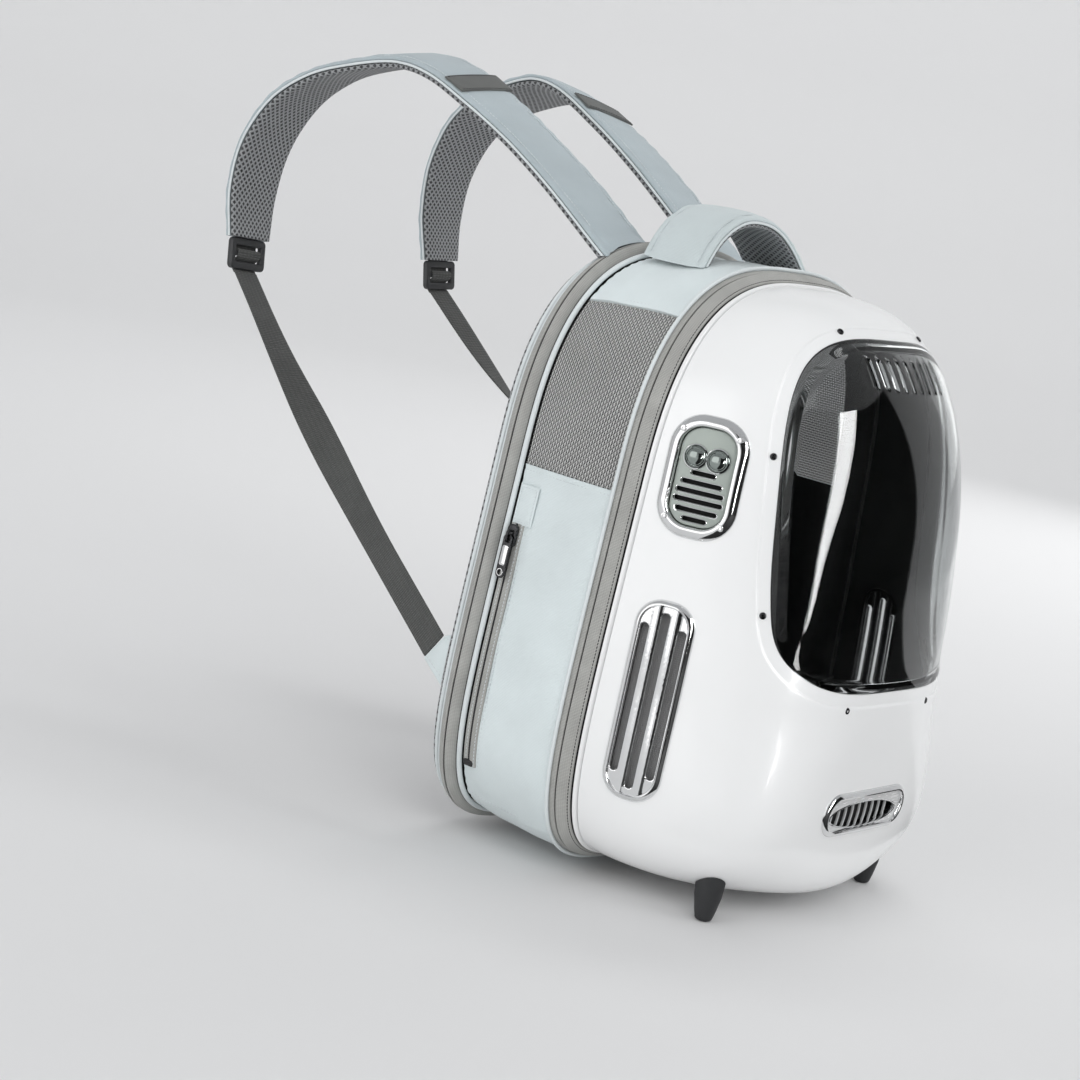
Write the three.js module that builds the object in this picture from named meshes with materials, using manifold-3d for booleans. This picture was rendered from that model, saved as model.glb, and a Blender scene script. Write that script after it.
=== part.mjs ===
// Pet carrier backpack: a hard domed front with a smoked window on a sewn gusset,
// a padded back and two shoulder straps, in the form that they take when worn.
// Millimetres, +Z up. The wearer stands on the +Y side and the dome faces -Y.
import * as THREE from "three";
import { mergeVertices } from "three/addons/utils/BufferGeometryUtils.js";
import Module from "manifold-3d";

const wasm = await Module();
wasm.setup();

// Outlines seen from the front: a superellipse with its own power above and below its waist,
// whose width changes by `widen` for each millimetre above the waist
const BODY = {
  halfWidth: 167.5, top: 455, waist: 291.5, bottom: 0, topPower: 2.8, bottomPower: 6, widen: -0.00043,
};
const WINDOW = {
  halfWidth: 120, top: 424.8, waist: 233, bottom: 171.5, topPower: 3.43, bottomPower: 4, widen: 0.00048,
};
const BODY_STATIONS = 40;
const WINDOW_STATIONS = 32;

// Dome of the front shell: it starts at the rim and closes on a pole
const RIM_Y = -134;
const RIM_INSET = 6.6;
const RIM_EDGE = { y: -129.6, inset: 4.9 };
const POLE_HEIGHT = 158.8;
const DOME_DEPTH = 144.9;
const DOME_LEAN = -11.2;
const DOME_FALL = { side: 0.506, top: 1.059, bottom: 0.239 };
const DOME_RISE = { side: 1.687, top: 0.49, bottom: 0.488 };
const DOME_BULGE = { side: -0.03, top: -0.15, bottom: 0.129 };
const DOME_RINGS = { count: 10, last: 88, crowding: 1.4 };
const SHELL_WALL = 3;

// Window: a bulged pane with a flange that is held behind the shell's wall
const PANE_BULGE = 6;
const PANE_WALL = 3;
const PANE_EDGE_GAP = 0.5;
const PANE_FLANGE = { reach: 6, gap: 3.2, thickness: 2.5 };
const PANE_SHARES = [0.25, 0.55, 0.8, 0.95, 1];
const PANE_POWER = 2.4;
const PANE_SLOTS = { count: 9, spread: 92, width: 4, height: 22, z: 401, radius: 1.9 };
// Depths between which the shell and the pane are cut through from the front
const FRONT_CUT = { low: 170, high: 320 };
const WINDOW_SCREWS = [
  { x: 57.5, z: 426.5 },
  { x: 125.5, z: 334 },
  { x: 123.2, z: 221.4 },
  { x: 57.8, z: 160 },
];
const SCREW = { radius: 3.4, height: 1.8, lift: 0.7, sides: 6 };

// Control module and vents on the flanks: place on the shell, and outline as half sizes
const MODULE = { y: -171, z: 308.5, halfWidth: 30, halfHeight: 45, radius: 25 };
const BEZEL_WIDTH = 9;
const BEZEL_HOLE = 2.2;
const BEZEL = { seat: 0.9, shoulder: 2.6, crown: 3.8, lip: 1.4, depth: 3.6 };
// Heights between which the shell is cut through for a fitting
const FITTING_CUT = { low: -30, high: 20 };
const PLATE_TOP = -0.8;
const PLATE_THICKNESS = 3;
const MODULE_SLOTS = [
  { rise: 2.5, length: 18 },
  { rise: -4.5, length: 30 },
  { rise: -11, length: 35 },
  { rise: -17.5, length: 36 },
  { rise: -24.5, length: 31 },
  { rise: -31, length: 18 },
];
const MODULE_SLOT_HEIGHT = 3;
const BUTTON = { across: 8.3, rise: 14, radius: 7.6, holeRadius: 8.1 };
const BUTTON_PROFILE = [
  { share: 0.9, h: -2.6 },
  { share: 1, h: -2 },
  { share: 1, h: 1.4 },
  { share: 0.82, h: 3.2 },
  { share: 0.45, h: 4.3 },
];
const BEZEL_SCREW = { radius: 2.4, height: 1.2, lift: 4.1, sides: 6, across: 21, rise: 32 };
const FLANK_VENT = { y: -171, z: 143, halfWidth: 23, halfHeight: 74.5, radius: 20 };
const FLANK_FRAME_WIDTH = 5.8;
const FLANK_BARS = { across: 6.7, width: 5.8, low: -3.6, high: 3, rows: 4, overlap: 1.5 };
const FRONT_VENT = { z: 78, halfWidth: 57.5, halfHeight: 17, radius: 16.9 };
const LOUVRE_MOUTH = { rise: -4, halfWidth: 46, halfHeight: 8.5, radius: 8.4 };
const LOUVRES = { count: 9, pitch: 9.6, thickness: 1.6, depth: 6, set: 7, rail: 1.5, recess: 0.6 };
const FITTING_GAP = 0.5;

// Feet under the shell: radius at each height
const FOOT = { x: 113, y: -226 };
const FOOT_PROFILE = [
  { radius: 4, z: -11 },
  { radius: 6.4, z: -9.6 },
  { radius: 8, z: -5 },
  { radius: 9.6, z: 4 },
  { radius: 11, z: 12 },
  { radius: 11, z: 34 },
];

// Sewn rings round the body, as sections of y and of height over the body's outline
const FRONT_ZIP = [
  [-112.8, 1.6], [-117.6, 0], [-118.9, 0.9], [-129, -4.4], [-129, -7.2], [-112.8, -1.4],
];
const REAR_ZIP = [
  [-0.6, -2.4], [-5, 2.4], [-13.8, 4.9], [-18.3, -1], [-18.3, -4.4], [-9, 0], [-0.6, -5.4],
];
const FRONT_PIPING = { y: -112.2, height: 3.6, radius: 1.4 };
const REAR_PIPING = { y: -20.8, height: -2.6, radius: 2.1 };
const PIPING_SIDES = 3;

// Gusset panels: height of the cloth over the outline across the gusset
const GUSSET_PROFILE = [
  { y: -23.4, height: -4.4 },
  { y: -45, height: -1 },
  { y: -80, height: 1.5 },
  { y: -111.6, height: 1.6 },
];
const PANEL_CLOTH = {
  cloth: { cloth: 2.2, sink: 0 },
  mesh: { cloth: 1.4, sink: 0.5 },
};
const PANEL_GAP = 0.4;
const MESH_TOP = 413;
const MESH_BOTTOM = 284;
const BOTTOM_SEAM = 22;

// Back: a padded panel, flat in its middle; the part's origin is the centre of that face
const BACK_FACE_Y = 12;
const BACK_HEIGHT = 235;
const BACK_PANEL = [
  { y: 0.2, inset: 4.5 },
  { y: 7, inset: 4.5 },
  { y: 11, inset: 10 },
  { y: BACK_FACE_Y, inset: 20 },
];

// Shoulder strap of the wearer's left side: middle of its upper face, width, and roll in degrees
const STRAP_PATH = [
  { x: -68, y: -22, z: 442, width: 64, roll: 4 },
  { x: -71, y: 0, z: 458, width: 64, roll: 4 },
  { x: -74, y: 51, z: 493, width: 64, roll: 4 },
  { x: -78, y: 95, z: 520, width: 64, roll: 4 },
  { x: -82, y: 140, z: 543, width: 64, roll: 6 },
  { x: -86, y: 185, z: 562, width: 64, roll: 8 },
  { x: -90, y: 216, z: 566, width: 64, roll: 9 },
  { x: -100, y: 260, z: 556, width: 63, roll: 9 },
  { x: -108, y: 298, z: 540, width: 62, roll: 9 },
  { x: -114, y: 330, z: 513, width: 60, roll: 8 },
  { x: -119, y: 351, z: 472, width: 57, roll: 6 },
  { x: -122, y: 355, z: 428, width: 52, roll: 3 },
  { x: -124, y: 348, z: 388, width: 44, roll: 0 },
];
const STRAP_STEPS = 16;
const STRAP_COVER = 6;
const STRAP_PAD = 6;
const LAYER_GAP = 0.5;
const STRAP_BAND = { from: 0.375, to: 0.415, height: 1.6, edgeInset: 0.5, edgeDrop: 0.2 };
const ADJUSTER = { width: 40, length: 26, thickness: 5, slotWidth: 29, slotLength: 4.5, bar: 4.5 };
const WEBBING = { width: 25, thickness: 1.8, steps: 12, sag: 6, startGap: 2, endGap: 1.2 };
// Stretch of the webbing's length over which it turns on edge
const WEBBING_TURN = { from: 0.05, to: 0.8 };
const STRAP_TAB = {
  x: -172.5, low: 88, high: 150, rootY: -9, tipY: 22, tipZ: 128, tipWidth: 27, thickness: 2.6,
};

// Carry handle over the top of the gusset: middle of its upper face, from left to right
const HANDLE_PATH = [
  { x: -88, z: 432 },
  { x: -80, z: 454 },
  { x: -63, z: 478 },
  { x: -36, z: 493 },
  { x: -6, z: 495 },
  { x: 20, z: 489 },
  { x: 44, z: 476 },
  { x: 68, z: 457 },
  { x: 88, z: 436 },
];
const HANDLE = { y: -58, width: 57, cover: 7, pad: 4.5, steps: 14 };

// Pocket zip on the left panel, its slider and its pull
const POCKET_ZIP = { rearY: -24.6, coilY: -31, frontY: -38.4, top: 240, bottom: 50, steps: 7 };
const POCKET_TAPE = { lift: 0.4, thickness: 1.2, coilWidth: 3.2, coilRise: 0.9 };
const SLIDER = { z: 230, y: -31, width: 9, length: 17, corner: 3, low: 0.3, thickness: 3.6, lift: 2.6 };
const CROWN = { clear: 5, leg: 1.6, clearHeight: 3.4, width: 1.8 };
const PULL = { pivot: 1.9, thickness: 1.5, width: 8, length: 33, holeRadius: 2 };
const PULL_EYE = { width: 4, length: 5.6 };
const HIDDEN_SLIDERS = [
  { name: "front_zip_slider", y: -120, z: 120, height: 2.6 },
  { name: "rear_zip_slider", y: -9, z: 120, height: 5.6 },
];
const HIDDEN_SLIDER_PLATES = [
  { halfWidth: 4.5, halfLength: 9, rise: 0, low: 0, high: 3.4 },
  { halfWidth: 3.5, halfLength: 13, rise: -15, low: 2.4, high: 4 },
];

const FINISHES = {
  shell: { color: 0xf3f4f4, roughness: 0.22, metalness: 0 },
  smoked: { color: 0x15171a, roughness: 0.06, metalness: 0 },
  chrome: { color: 0xd8dadc, roughness: 0.12, metalness: 1 },
  plate: { color: 0x9fa9a1, roughness: 0.45, metalness: 0.1 },
  rubber: { color: 0x17181a, roughness: 0.7, metalness: 0 },
  cloth: { color: 0xd0dcde, roughness: 0.85, metalness: 0 },
  mesh: { color: 0x8f8f8d, roughness: 0.95, metalness: 0 },
  tape: { color: 0x9c9b96, roughness: 0.9, metalness: 0 },
  piping: { color: 0xe6eef0, roughness: 0.7, metalness: 0 },
  webbing: { color: 0x6d706f, roughness: 0.9, metalness: 0 },
  airMesh: { color: 0xb4b8b8, roughness: 0.95, metalness: 0 },
  plastic: { color: 0x303234, roughness: 0.5, metalness: 0 },
  steel: { color: 0x3a3b3c, roughness: 0.35, metalness: 1 },
};

const V2 = (x, y) => new THREE.Vector2(x, y);
const V3 = (x, y, z) => new THREE.Vector3(x, y, z);
const range = (count, make) => Array.from({ length: count }, (_, i) => make(i));
const lerp = THREE.MathUtils.lerp;

const part = new THREE.Group();
const bag = new THREE.Group();
bag.position.set(0, -BACK_FACE_Y, -BACK_HEIGHT);
part.add(bag);

function add(name, geometry, finish) {
  const mesh = new THREE.Mesh(geometry, new THREE.MeshStandardMaterial(FINISHES[finish]));
  mesh.name = name;
  bag.add(mesh);
}

// Geometry from points and triangles, turned to face outwards
function shape(points, faces) {
  const volume = faces.reduce((sum, [a, b, c]) => {
    return sum + points[a].dot(points[b].clone().cross(points[c]));
  }, 0);
  const outward = volume > 0 ? faces : faces.map(([a, b, c]) => [a, c, b]);
  const geometry = new THREE.BufferGeometry().setFromPoints(points);
  geometry.setIndex(outward.flat());
  geometry.computeVertexNormals();
  return geometry;
}

// Closed surface through rows of points: the last row joins the first, or both ends are capped
function loft(rows, joined = false) {
  const width = rows[0].length;
  const points = rows.flat();
  const faces = [];
  const bands = joined ? rows.length : rows.length - 1;
  for (let i = 0; i < bands; i++) {
    const here = i * width;
    const next = ((i + 1) % rows.length) * width;
    for (let j = 0; j < width; j++) {
      const k = (j + 1) % width;
      faces.push([here + j, here + k, next + k], [here + j, next + k, next + j]);
    }
  }
  if (!joined) {
    const last = (rows.length - 1) * width;
    const start = points.push(middle(rows[0])) - 1;
    const end = points.push(middle(rows.at(-1))) - 1;
    for (let j = 0; j < width; j++) {
      const k = (j + 1) % width;
      faces.push([start, k, j], [end, last + j, last + k]);
    }
  }
  return shape(points, faces);
}

function middle(points) {
  return points.reduce((sum, p) => sum.add(p), V3(0, 0, 0)).divideScalar(points.length);
}

// The same surface with its shared vertices merged and nothing but positions left
function welded(geometry) {
  const bare = new THREE.BufferGeometry().setAttribute("position", geometry.getAttribute("position"));
  return mergeVertices(bare.setIndex(geometry.index), 1e-4);
}

function mirrored(geometry) {
  const merged = welded(geometry);
  const position = merged.getAttribute("position");
  const points = range(position.count, (i) => V3(-position.getX(i), position.getY(i), position.getZ(i)));
  const index = merged.index.array;
  return shape(points, range(index.length / 3, (i) => [index[3 * i], index[3 * i + 1], index[3 * i + 2]]));
}

function solid(geometry) {
  const merged = welded(geometry);
  const vertProperties = merged.getAttribute("position").array;
  return new wasm.Manifold(
    new wasm.Mesh({ numProp: 3, vertProperties, triVerts: new Uint32Array(merged.index.array) }),
  );
}

function fromSolid(manifold) {
  const mesh = manifold.getMesh();
  const geometry = new THREE.BufferGeometry();
  geometry.setAttribute("position", new THREE.BufferAttribute(mesh.vertProperties, 3));
  geometry.setIndex(new THREE.BufferAttribute(mesh.triVerts, 1));
  geometry.computeVertexNormals();
  return geometry;
}

function cut(geometry, tools) {
  return fromSolid(tools.reduce((left, tool) => left.subtract(solid(tool)), solid(geometry)));
}

function joined(geometries) {
  return fromSolid(geometries.map(solid).reduce((a, b) => a.add(b)));
}

// Superellipse outline: at(share) gives its point, moved along the outward normal, from the top middle,
// down the left side, along the bottom and up the right side. Shares run slower where the outline bends
const BEND_WEIGHT = 60;
const NORMAL_REACH = 5;

function makeOutline({ halfWidth, top, waist, bottom, topPower, bottomPower, widen }) {
  const steps = 4800;
  const signed = (value, power) => Math.sign(value) * Math.abs(value) ** power;
  const points = range(steps + 1, (i) => {
    const angle = Math.PI / 2 + (2 * Math.PI * i) / steps;
    const above = Math.sin(angle) >= 0;
    const power = 2 / (above ? topPower : bottomPower);
    const rise = signed(Math.sin(angle), power) * (above ? top - waist : waist - bottom);
    return V2(halfWidth * signed(Math.cos(angle), power) * (1 + widen * rise), waist + rise);
  });
  const heading = (i) => points[Math.min(i + 1, steps)].clone().sub(points[Math.max(i - 1, 0)]).angle();
  const turn = (i) => {
    const change = heading(i) - heading(i - 1);
    return Math.abs(Math.atan2(Math.sin(change), Math.cos(change)));
  };
  const lengths = [0];
  for (let i = 1; i <= steps; i++) {
    lengths.push(lengths[i - 1] + points[i].distanceTo(points[i - 1]) + BEND_WEIGHT * turn(i));
  }
  const total = lengths[steps];
  function pointAt(share) {
    const length = (share - Math.floor(share)) * total;
    let low = 0;
    let high = steps;
    while (high - low > 1) {
      const half = (low + high) >> 1;
      if (lengths[half] <= length) low = half;
      else high = half;
    }
    const span = lengths[high] - lengths[low];
    return points[low].clone().lerp(points[high], span > 0 ? (length - lengths[low]) / span : 0);
  }
  const reach = NORMAL_REACH / total;
  function at(share, offset = 0) {
    const along = pointAt(share + reach).sub(pointAt(share - reach)).normalize();
    const normal = V2(along.y, -along.x);
    return pointAt(share).addScaledVector(normal, offset);
  }
  // Share at which the left side is at a height; the right side's is one minus it
  function shareAtHeight(z) {
    let low = 0;
    let high = 0.5;
    for (let i = 0; i < 40; i++) {
      const half = (low + high) / 2;
      if (pointAt(half).y > z) low = half;
      else high = half;
    }
    return low;
  }
  return { at, total, shareAtHeight };
}

const body = makeOutline(BODY);
const windowEdge = makeOutline(WINDOW);

function bodyPoint(share, height, y) {
  const p = body.at(share, height);
  return V3(p.x, y, p.y);
}

const bodyRing = (y, height) => range(BODY_STATIONS, (i) => bodyPoint(i / BODY_STATIONS, height, y));

// Dome: a point over each rim point, at an angle from 0 at the rim to a quarter turn at the pole
function domeLaw(rim) {
  const lean = Math.sin(Math.atan2(rim.y - POLE_HEIGHT, rim.x));
  const blend = ({ side, top, bottom }) => side + ((lean > 0 ? top : bottom) - side) * lean * lean;
  const fall = blend(DOME_FALL);
  const rise = blend(DOME_RISE);
  const bulge = blend(DOME_BULGE);
  const radius = (angle) => Math.cos(angle) ** fall * (1 + bulge * Math.sin(angle));
  let widest = 0;
  for (let i = 0; i < 12 && bulge > 0; i++) {
    widest = Math.atan((bulge / fall) * Math.cos(widest) / (1 + bulge * Math.sin(widest)));
  }
  return { rise, radius, widest };
}

function domePoint(rim, angle) {
  const { rise, radius } = domeLaw(rim);
  const share = radius(angle);
  const z = POLE_HEIGHT + share * (rim.y - POLE_HEIGHT);
  const depth = DOME_DEPTH + DOME_LEAN * (0.5 - z / BODY.top);
  return V3(share * rim.x, RIM_Y - depth * Math.sin(angle) ** rise, z);
}

function rimToward(x, z) {
  const turn = (p) => (Math.atan2(p.y - POLE_HEIGHT, p.x) - Math.PI / 2 + 4 * Math.PI) % (2 * Math.PI);
  const wanted = turn(V2(x, z));
  let low = 0;
  let high = 1;
  for (let i = 0; i < 34; i++) {
    const half = (low + high) / 2;
    if (turn(body.at(half, -RIM_INSET)) < wanted) low = half;
    else high = half;
  }
  return body.at(low, -RIM_INSET);
}

// The dome's outer surface at a place seen from the front, or null outside it
function domeY(x, z) {
  const rim = rimToward(x, z);
  const { radius, widest } = domeLaw(rim);
  const wanted = Math.hypot(x, z - POLE_HEIGHT) / Math.hypot(rim.x, rim.y - POLE_HEIGHT);
  if (wanted > radius(widest)) return null;
  let low = widest;
  let high = Math.PI / 2;
  for (let i = 0; i < 40; i++) {
    const half = (low + high) / 2;
    if (radius(half) > wanted) low = half;
    else high = half;
  }
  return domePoint(rim, low).y;
}

function insideDome(p) {
  const y = domeY(p.x, p.z);
  return y !== null && p.y > y;
}

// First point of the dome along a line that comes from outside
function dropOnDome(from, direction) {
  const step = 3;
  const at = (distance) => from.clone().addScaledVector(direction, distance);
  let far = 0;
  while (!insideDome(at(far))) far += step;
  let near = far - step;
  for (let i = 0; i < 26; i++) {
    const half = (near + far) / 2;
    if (insideDome(at(half))) far = half;
    else near = half;
  }
  return at(far);
}

function domeNormal(p) {
  const d = 0.6;
  const slopeX = (domeY(p.x + d, p.z) - domeY(p.x - d, p.z)) / (2 * d);
  const slopeZ = (domeY(p.x, p.z + d) - domeY(p.x, p.z - d)) / (2 * d);
  return V3(slopeX, -1, slopeZ).normalize();
}

function inFrame({ across, up, normal }, centre, u, v, h) {
  return centre.clone().addScaledVector(across, u).addScaledVector(up, v).addScaledVector(normal, h);
}

// Local frame on the dome: place(u, v, h) is a point h over the surface, u across and v up
const PATCH_CLEAR = 24;

function domePatch(centre) {
  const normal = domeNormal(centre);
  const across = V3(0, 0, 1).cross(normal).normalize();
  const up = normal.clone().cross(across);
  const flat = (u, v, h) => inFrame({ across, up, normal }, centre, u, v, h);
  const inward = normal.clone().negate();
  const place = (u, v, h) => dropOnDome(flat(u, v, PATCH_CLEAR), inward).addScaledVector(normal, h);
  return { normal, across, up, flat, place };
}

const flankPatch = ({ y, z }) => domePatch(dropOnDome(V3(-BODY.top / 2, y, z), V3(1, 0, 0)));

// Longest straight stretch of an outline that has to follow the dome
const OUTLINE_STEP = 22;

// Rounded rectangle about a middle, anticlockwise, as points of a flat outline
function roundedRect(halfWidth, halfHeight, radius, centre = V2(0, 0), perCorner = 3) {
  const corners = [[1, 1, 0], [-1, 1, 0.5], [-1, -1, 1], [1, -1, 1.5]];
  return corners.flatMap(([sx, sy, start]) =>
    range(perCorner + 1, (i) => {
      const angle = Math.PI * (start + (0.5 * i) / perCorner);
      return V2(
        centre.x + sx * (halfWidth - radius) + radius * Math.cos(angle),
        centre.y + sy * (halfHeight - radius) + radius * Math.sin(angle),
      );
    }),
  );
}

// Outline of a fitting, grown or shrunk, with its straight sides divided as on the outline `like`
function outlineOf(sizes, grow = 0, like = sizes) {
  const { halfWidth, halfHeight, radius, rise = 0 } = sizes;
  const corners = roundedRect(halfWidth + grow, halfHeight + grow, radius + grow, V2(0, rise));
  const full = roundedRect(like.halfWidth, like.halfHeight, like.radius);
  return corners.flatMap((p, i) => {
    const next = (i + 1) % corners.length;
    const pieces = Math.max(1, Math.round(full[i].distanceTo(full[next]) / OUTLINE_STEP));
    return range(pieces, (k) => p.clone().lerp(corners[next], k / pieces));
  });
}

// Flat plate in a frame, between two heights, with holes through it
function prism(patch, outline, low, high, holes = []) {
  const face = new THREE.Shape(outline);
  face.holes = holes.map((hole) => new THREE.Path(hole));
  const geometry = new THREE.ExtrudeGeometry(face, { depth: high - low, bevelEnabled: false });
  const position = geometry.getAttribute("position");
  for (let i = 0; i < position.count; i++) {
    const p = patch.flat(position.getX(i), position.getY(i), low + position.getZ(i));
    position.setXYZ(i, p.x, p.y, p.z);
  }
  return geometry;
}

// Frame that follows the dome: its section is a list of growth of the outline and of height
function frame(patch, sizes, section) {
  return loft(section.map(([grow, h]) => outlineOf(sizes, grow).map((p) => patch.place(p.x, p.y, h))), true);
}

// Round piece on a frame's normal: radius at each height, closed at both ends
function turned(patch, centre, profile, sides = 16) {
  return loft(
    profile.map(([radius, h]) =>
      range(sides, (i) => {
        const angle = (2 * Math.PI * i) / sides;
        return patch.flat(centre.x + radius * Math.cos(angle), centre.y + radius * Math.sin(angle), h);
      }),
    ),
  );
}

// Box in a frame: middle, half sizes along across, up and normal
function block(patch, centre, half) {
  const corners = [[-1, -1], [1, -1], [1, 1], [-1, 1]];
  return loft([-1, 1].map((s) =>
    corners.map(([u, v]) => patch.flat(centre.x + u * half.x, centre.y + v * half.y, centre.z + s * half.z)),
  ));
}

// Front shell: a cup with a wall of even thickness, cut for the window and the fittings
const modulePatch = flankPatch(MODULE);
const ventPatch = flankPatch(FLANK_VENT);
const frontVentPatch = domePatch(V3(0, domeY(0, FRONT_VENT.z), FRONT_VENT.z));
const windowPatch = {
  flat: (x, z, h) => V3(x, -h, z),
  place: (x, z, h) => V3(x, domeY(x, z) - h, z),
};

function domeRings(offset) {
  const { count, last, crowding } = DOME_RINGS;
  const angles = range(count, (i) => THREE.MathUtils.degToRad(last * (i / (count - 1)) ** crowding));
  const d = 1e-3;
  return angles.map((angle) =>
    range(BODY_STATIONS, (i) => {
      const share = i / BODY_STATIONS;
      const at = (s, a) => domePoint(body.at(s, -RIM_INSET), a);
      const point = at(share, angle);
      const along = at(share + d, angle).sub(at(share - d, angle));
      const inward = at(share, angle + d).sub(at(share, Math.max(angle - d, 0)));
      const normal = inward.cross(along).normalize();
      const outward = normal.dot(V3(point.x, point.y - RIM_Y, point.z - POLE_HEIGHT)) > 0 ? 1 : -1;
      return point.addScaledVector(normal, outward * offset);
    }),
  );
}

function frontShell() {
  const edge = (offset, y) => bodyRing(y, offset - RIM_EDGE.inset);
  const outside = loft([edge(0, RIM_EDGE.y), ...domeRings(0)]);
  const past = edge(-SHELL_WALL, RIM_EDGE.y + SHELL_WALL);
  const inside = loft([past, edge(-SHELL_WALL, RIM_EDGE.y), ...domeRings(-SHELL_WALL)]);
  const opening = range(WINDOW_STATIONS, (i) => windowEdge.at(i / WINDOW_STATIONS));
  const hole = (patch, sizes) => {
    return prism(patch, outlineOf(sizes, -BEZEL_HOLE), FITTING_CUT.low, FITTING_CUT.high);
  };
  const ventHole = hole(ventPatch, FLANK_VENT);
  return cut(outside, [
    inside,
    prism(windowPatch, opening, FRONT_CUT.low, FRONT_CUT.high),
    hole(modulePatch, MODULE),
    ventHole,
    mirrored(ventHole),
    hole(frontVentPatch, FRONT_VENT),
  ]);
}

// Solid under the shell's outer surface, to seat pieces on it
function shellVolume(offset) {
  return loft([bodyRing(RIM_EDGE.y, -RIM_INSET + offset), ...domeRings(offset)]);
}

function pane() {
  const lean = (x, z) => Math.abs(domeNormal(V3(x, 0, z)).y);
  const centre = (WINDOW.top + WINDOW.bottom) / 2;
  const bulge = (share) => PANE_BULGE * (1 - share ** PANE_POWER);
  const scaled = (share, drop) =>
    range(WINDOW_STATIONS, (i) => {
      const edge = windowEdge.at(i / WINDOW_STATIONS, -PANE_EDGE_GAP);
      const p = V2(edge.x * share, centre + (edge.y - centre) * share);
      return windowPatch.place(p.x, p.y, bulge(share) - drop / lean(p.x, p.y));
    });
  const rimmed = (reach, drop) =>
    range(WINDOW_STATIONS, (i) => {
      const p = windowEdge.at(i / WINDOW_STATIONS, reach);
      return windowPatch.place(p.x, p.y, -drop / lean(p.x, p.y));
    });
  const seat = SHELL_WALL + PANE_FLANGE.gap;
  const pane = loft([
    ...PANE_SHARES.map((share) => scaled(share, 0)),
    rimmed(-PANE_EDGE_GAP, seat),
    rimmed(PANE_FLANGE.reach, seat),
    rimmed(PANE_FLANGE.reach, seat + PANE_FLANGE.thickness),
    rimmed(-PANE_EDGE_GAP - PANE_WALL, seat + PANE_FLANGE.thickness),
    ...PANE_SHARES.slice(0, -2).toReversed().map((share) => scaled(share, PANE_WALL)),
  ]);
  const slots = range(PANE_SLOTS.count, (i) => {
    const x = PANE_SLOTS.spread * (i / (PANE_SLOTS.count - 1) - 0.5);
    const { width, height, z, radius } = PANE_SLOTS;
    const outline = roundedRect(width / 2, height / 2, radius, V2(x, z), 1);
    return prism(windowPatch, outline, FRONT_CUT.low, FRONT_CUT.high);
  });
  return cut(pane, slots);
}

add("front_shell", frontShell(), "shell");
add("window", pane(), "smoked");

// Low round screw head in a frame
function screw(patch, { radius, height, lift, sides }) {
  const profile = [
    [radius, lift],
    [radius, lift + height * 0.5],
    [radius * 0.6, lift + height],
  ];
  return turned(patch, V2(0, 0), profile, sides);
}
[1, -1].forEach((side) =>
  WINDOW_SCREWS.forEach(({ x, z }, i) => {
    const patch = domePatch(V3(side * x, domeY(side * x, z), z));
    const number = side > 0 ? i + 1 + WINDOW_SCREWS.length : i + 1;
    add("window_screw_" + number, screw(patch, SCREW), "steel");
  }),
);

// Control module: bezel, slotted plate, two push buttons and four screws
function slotOutline(halfWidth, halfHeight, centre, perCorner = 2) {
  return roundedRect(halfWidth, halfHeight, Math.min(halfWidth, halfHeight) - 0.05, centre, perCorner);
}

// Section of a raised ring whose shank stands in the shell's hole
const ringBezel = (width) => [
  [0, BEZEL.seat],
  [-width * 0.15, BEZEL.shoulder],
  [-width * 0.5, BEZEL.crown],
  [-width * 0.93, BEZEL.lip],
  [-width, -BEZEL.depth],
  [-BEZEL_HOLE - FITTING_GAP, -BEZEL.depth],
  [-BEZEL_HOLE - FITTING_GAP, BEZEL.seat],
];
add("module_bezel", frame(modulePatch, MODULE, ringBezel(BEZEL_WIDTH)), "chrome");

const buttonCentre = (side) => V2(side * BUTTON.across, BUTTON.rise);
const buttonHole = (side) => slotOutline(BUTTON.holeRadius, BUTTON.holeRadius, buttonCentre(side), 4);
const moduleSlots = MODULE_SLOTS.map(({ rise, length }) =>
  slotOutline(length / 2, MODULE_SLOT_HEIGHT / 2, V2(0, rise), 1));
const modulePlate = prism(modulePatch, outlineOf(MODULE, -BEZEL_WIDTH - FITTING_GAP),
  PLATE_TOP - PLATE_THICKNESS, PLATE_TOP, [buttonHole(-1), buttonHole(1), ...moduleSlots]);
add("module_plate", modulePlate, "plate");

const buttonProfile = BUTTON_PROFILE.map(({ share, h }) => [BUTTON.radius * share, PLATE_TOP + h]);
[["button_fan", -1], ["button_light", 1]].forEach(([name, side]) => {
  add(name, turned(modulePatch, buttonCentre(side), buttonProfile, 12), "chrome");
});
[[-1, 1], [1, 1], [-1, -1], [1, -1]].forEach(([u, v], i) => {
  const spot = modulePatch.place(u * BEZEL_SCREW.across, v * BEZEL_SCREW.rise, 0);
  const patch = { flat: (a, b, h) => inFrame(modulePatch, spot, a, b, h) };
  add("bezel_screw_" + (i + 1), screw(patch, BEZEL_SCREW), "steel");
});

// Flank vents: a raised frame with two upright bars, the right one a mirror of the left
function flankVent() {
  const { across, width, low, high, rows, overlap } = FLANK_BARS;
  const reach = FLANK_VENT.halfHeight - FLANK_FRAME_WIDTH + overlap;
  const bars = [-1, 1].map((s) =>
    loft(range(rows, (i) => {
      const v = lerp(-reach, reach, i / (rows - 1));
      const [a, b] = [-width / 2, width / 2].map((half) => s * across + half);
      return [[a, low], [b, low], [b, high], [a, high]].map(([u, h]) => ventPatch.place(u, v, h));
    })));
  return joined([frame(ventPatch, FLANK_VENT, ringBezel(FLANK_FRAME_WIDTH)), ...bars]);
}
const ventLeft = flankVent();
add("vent_left", ventLeft, "chrome");
add("vent_right", mirrored(ventLeft), "chrome");

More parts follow.
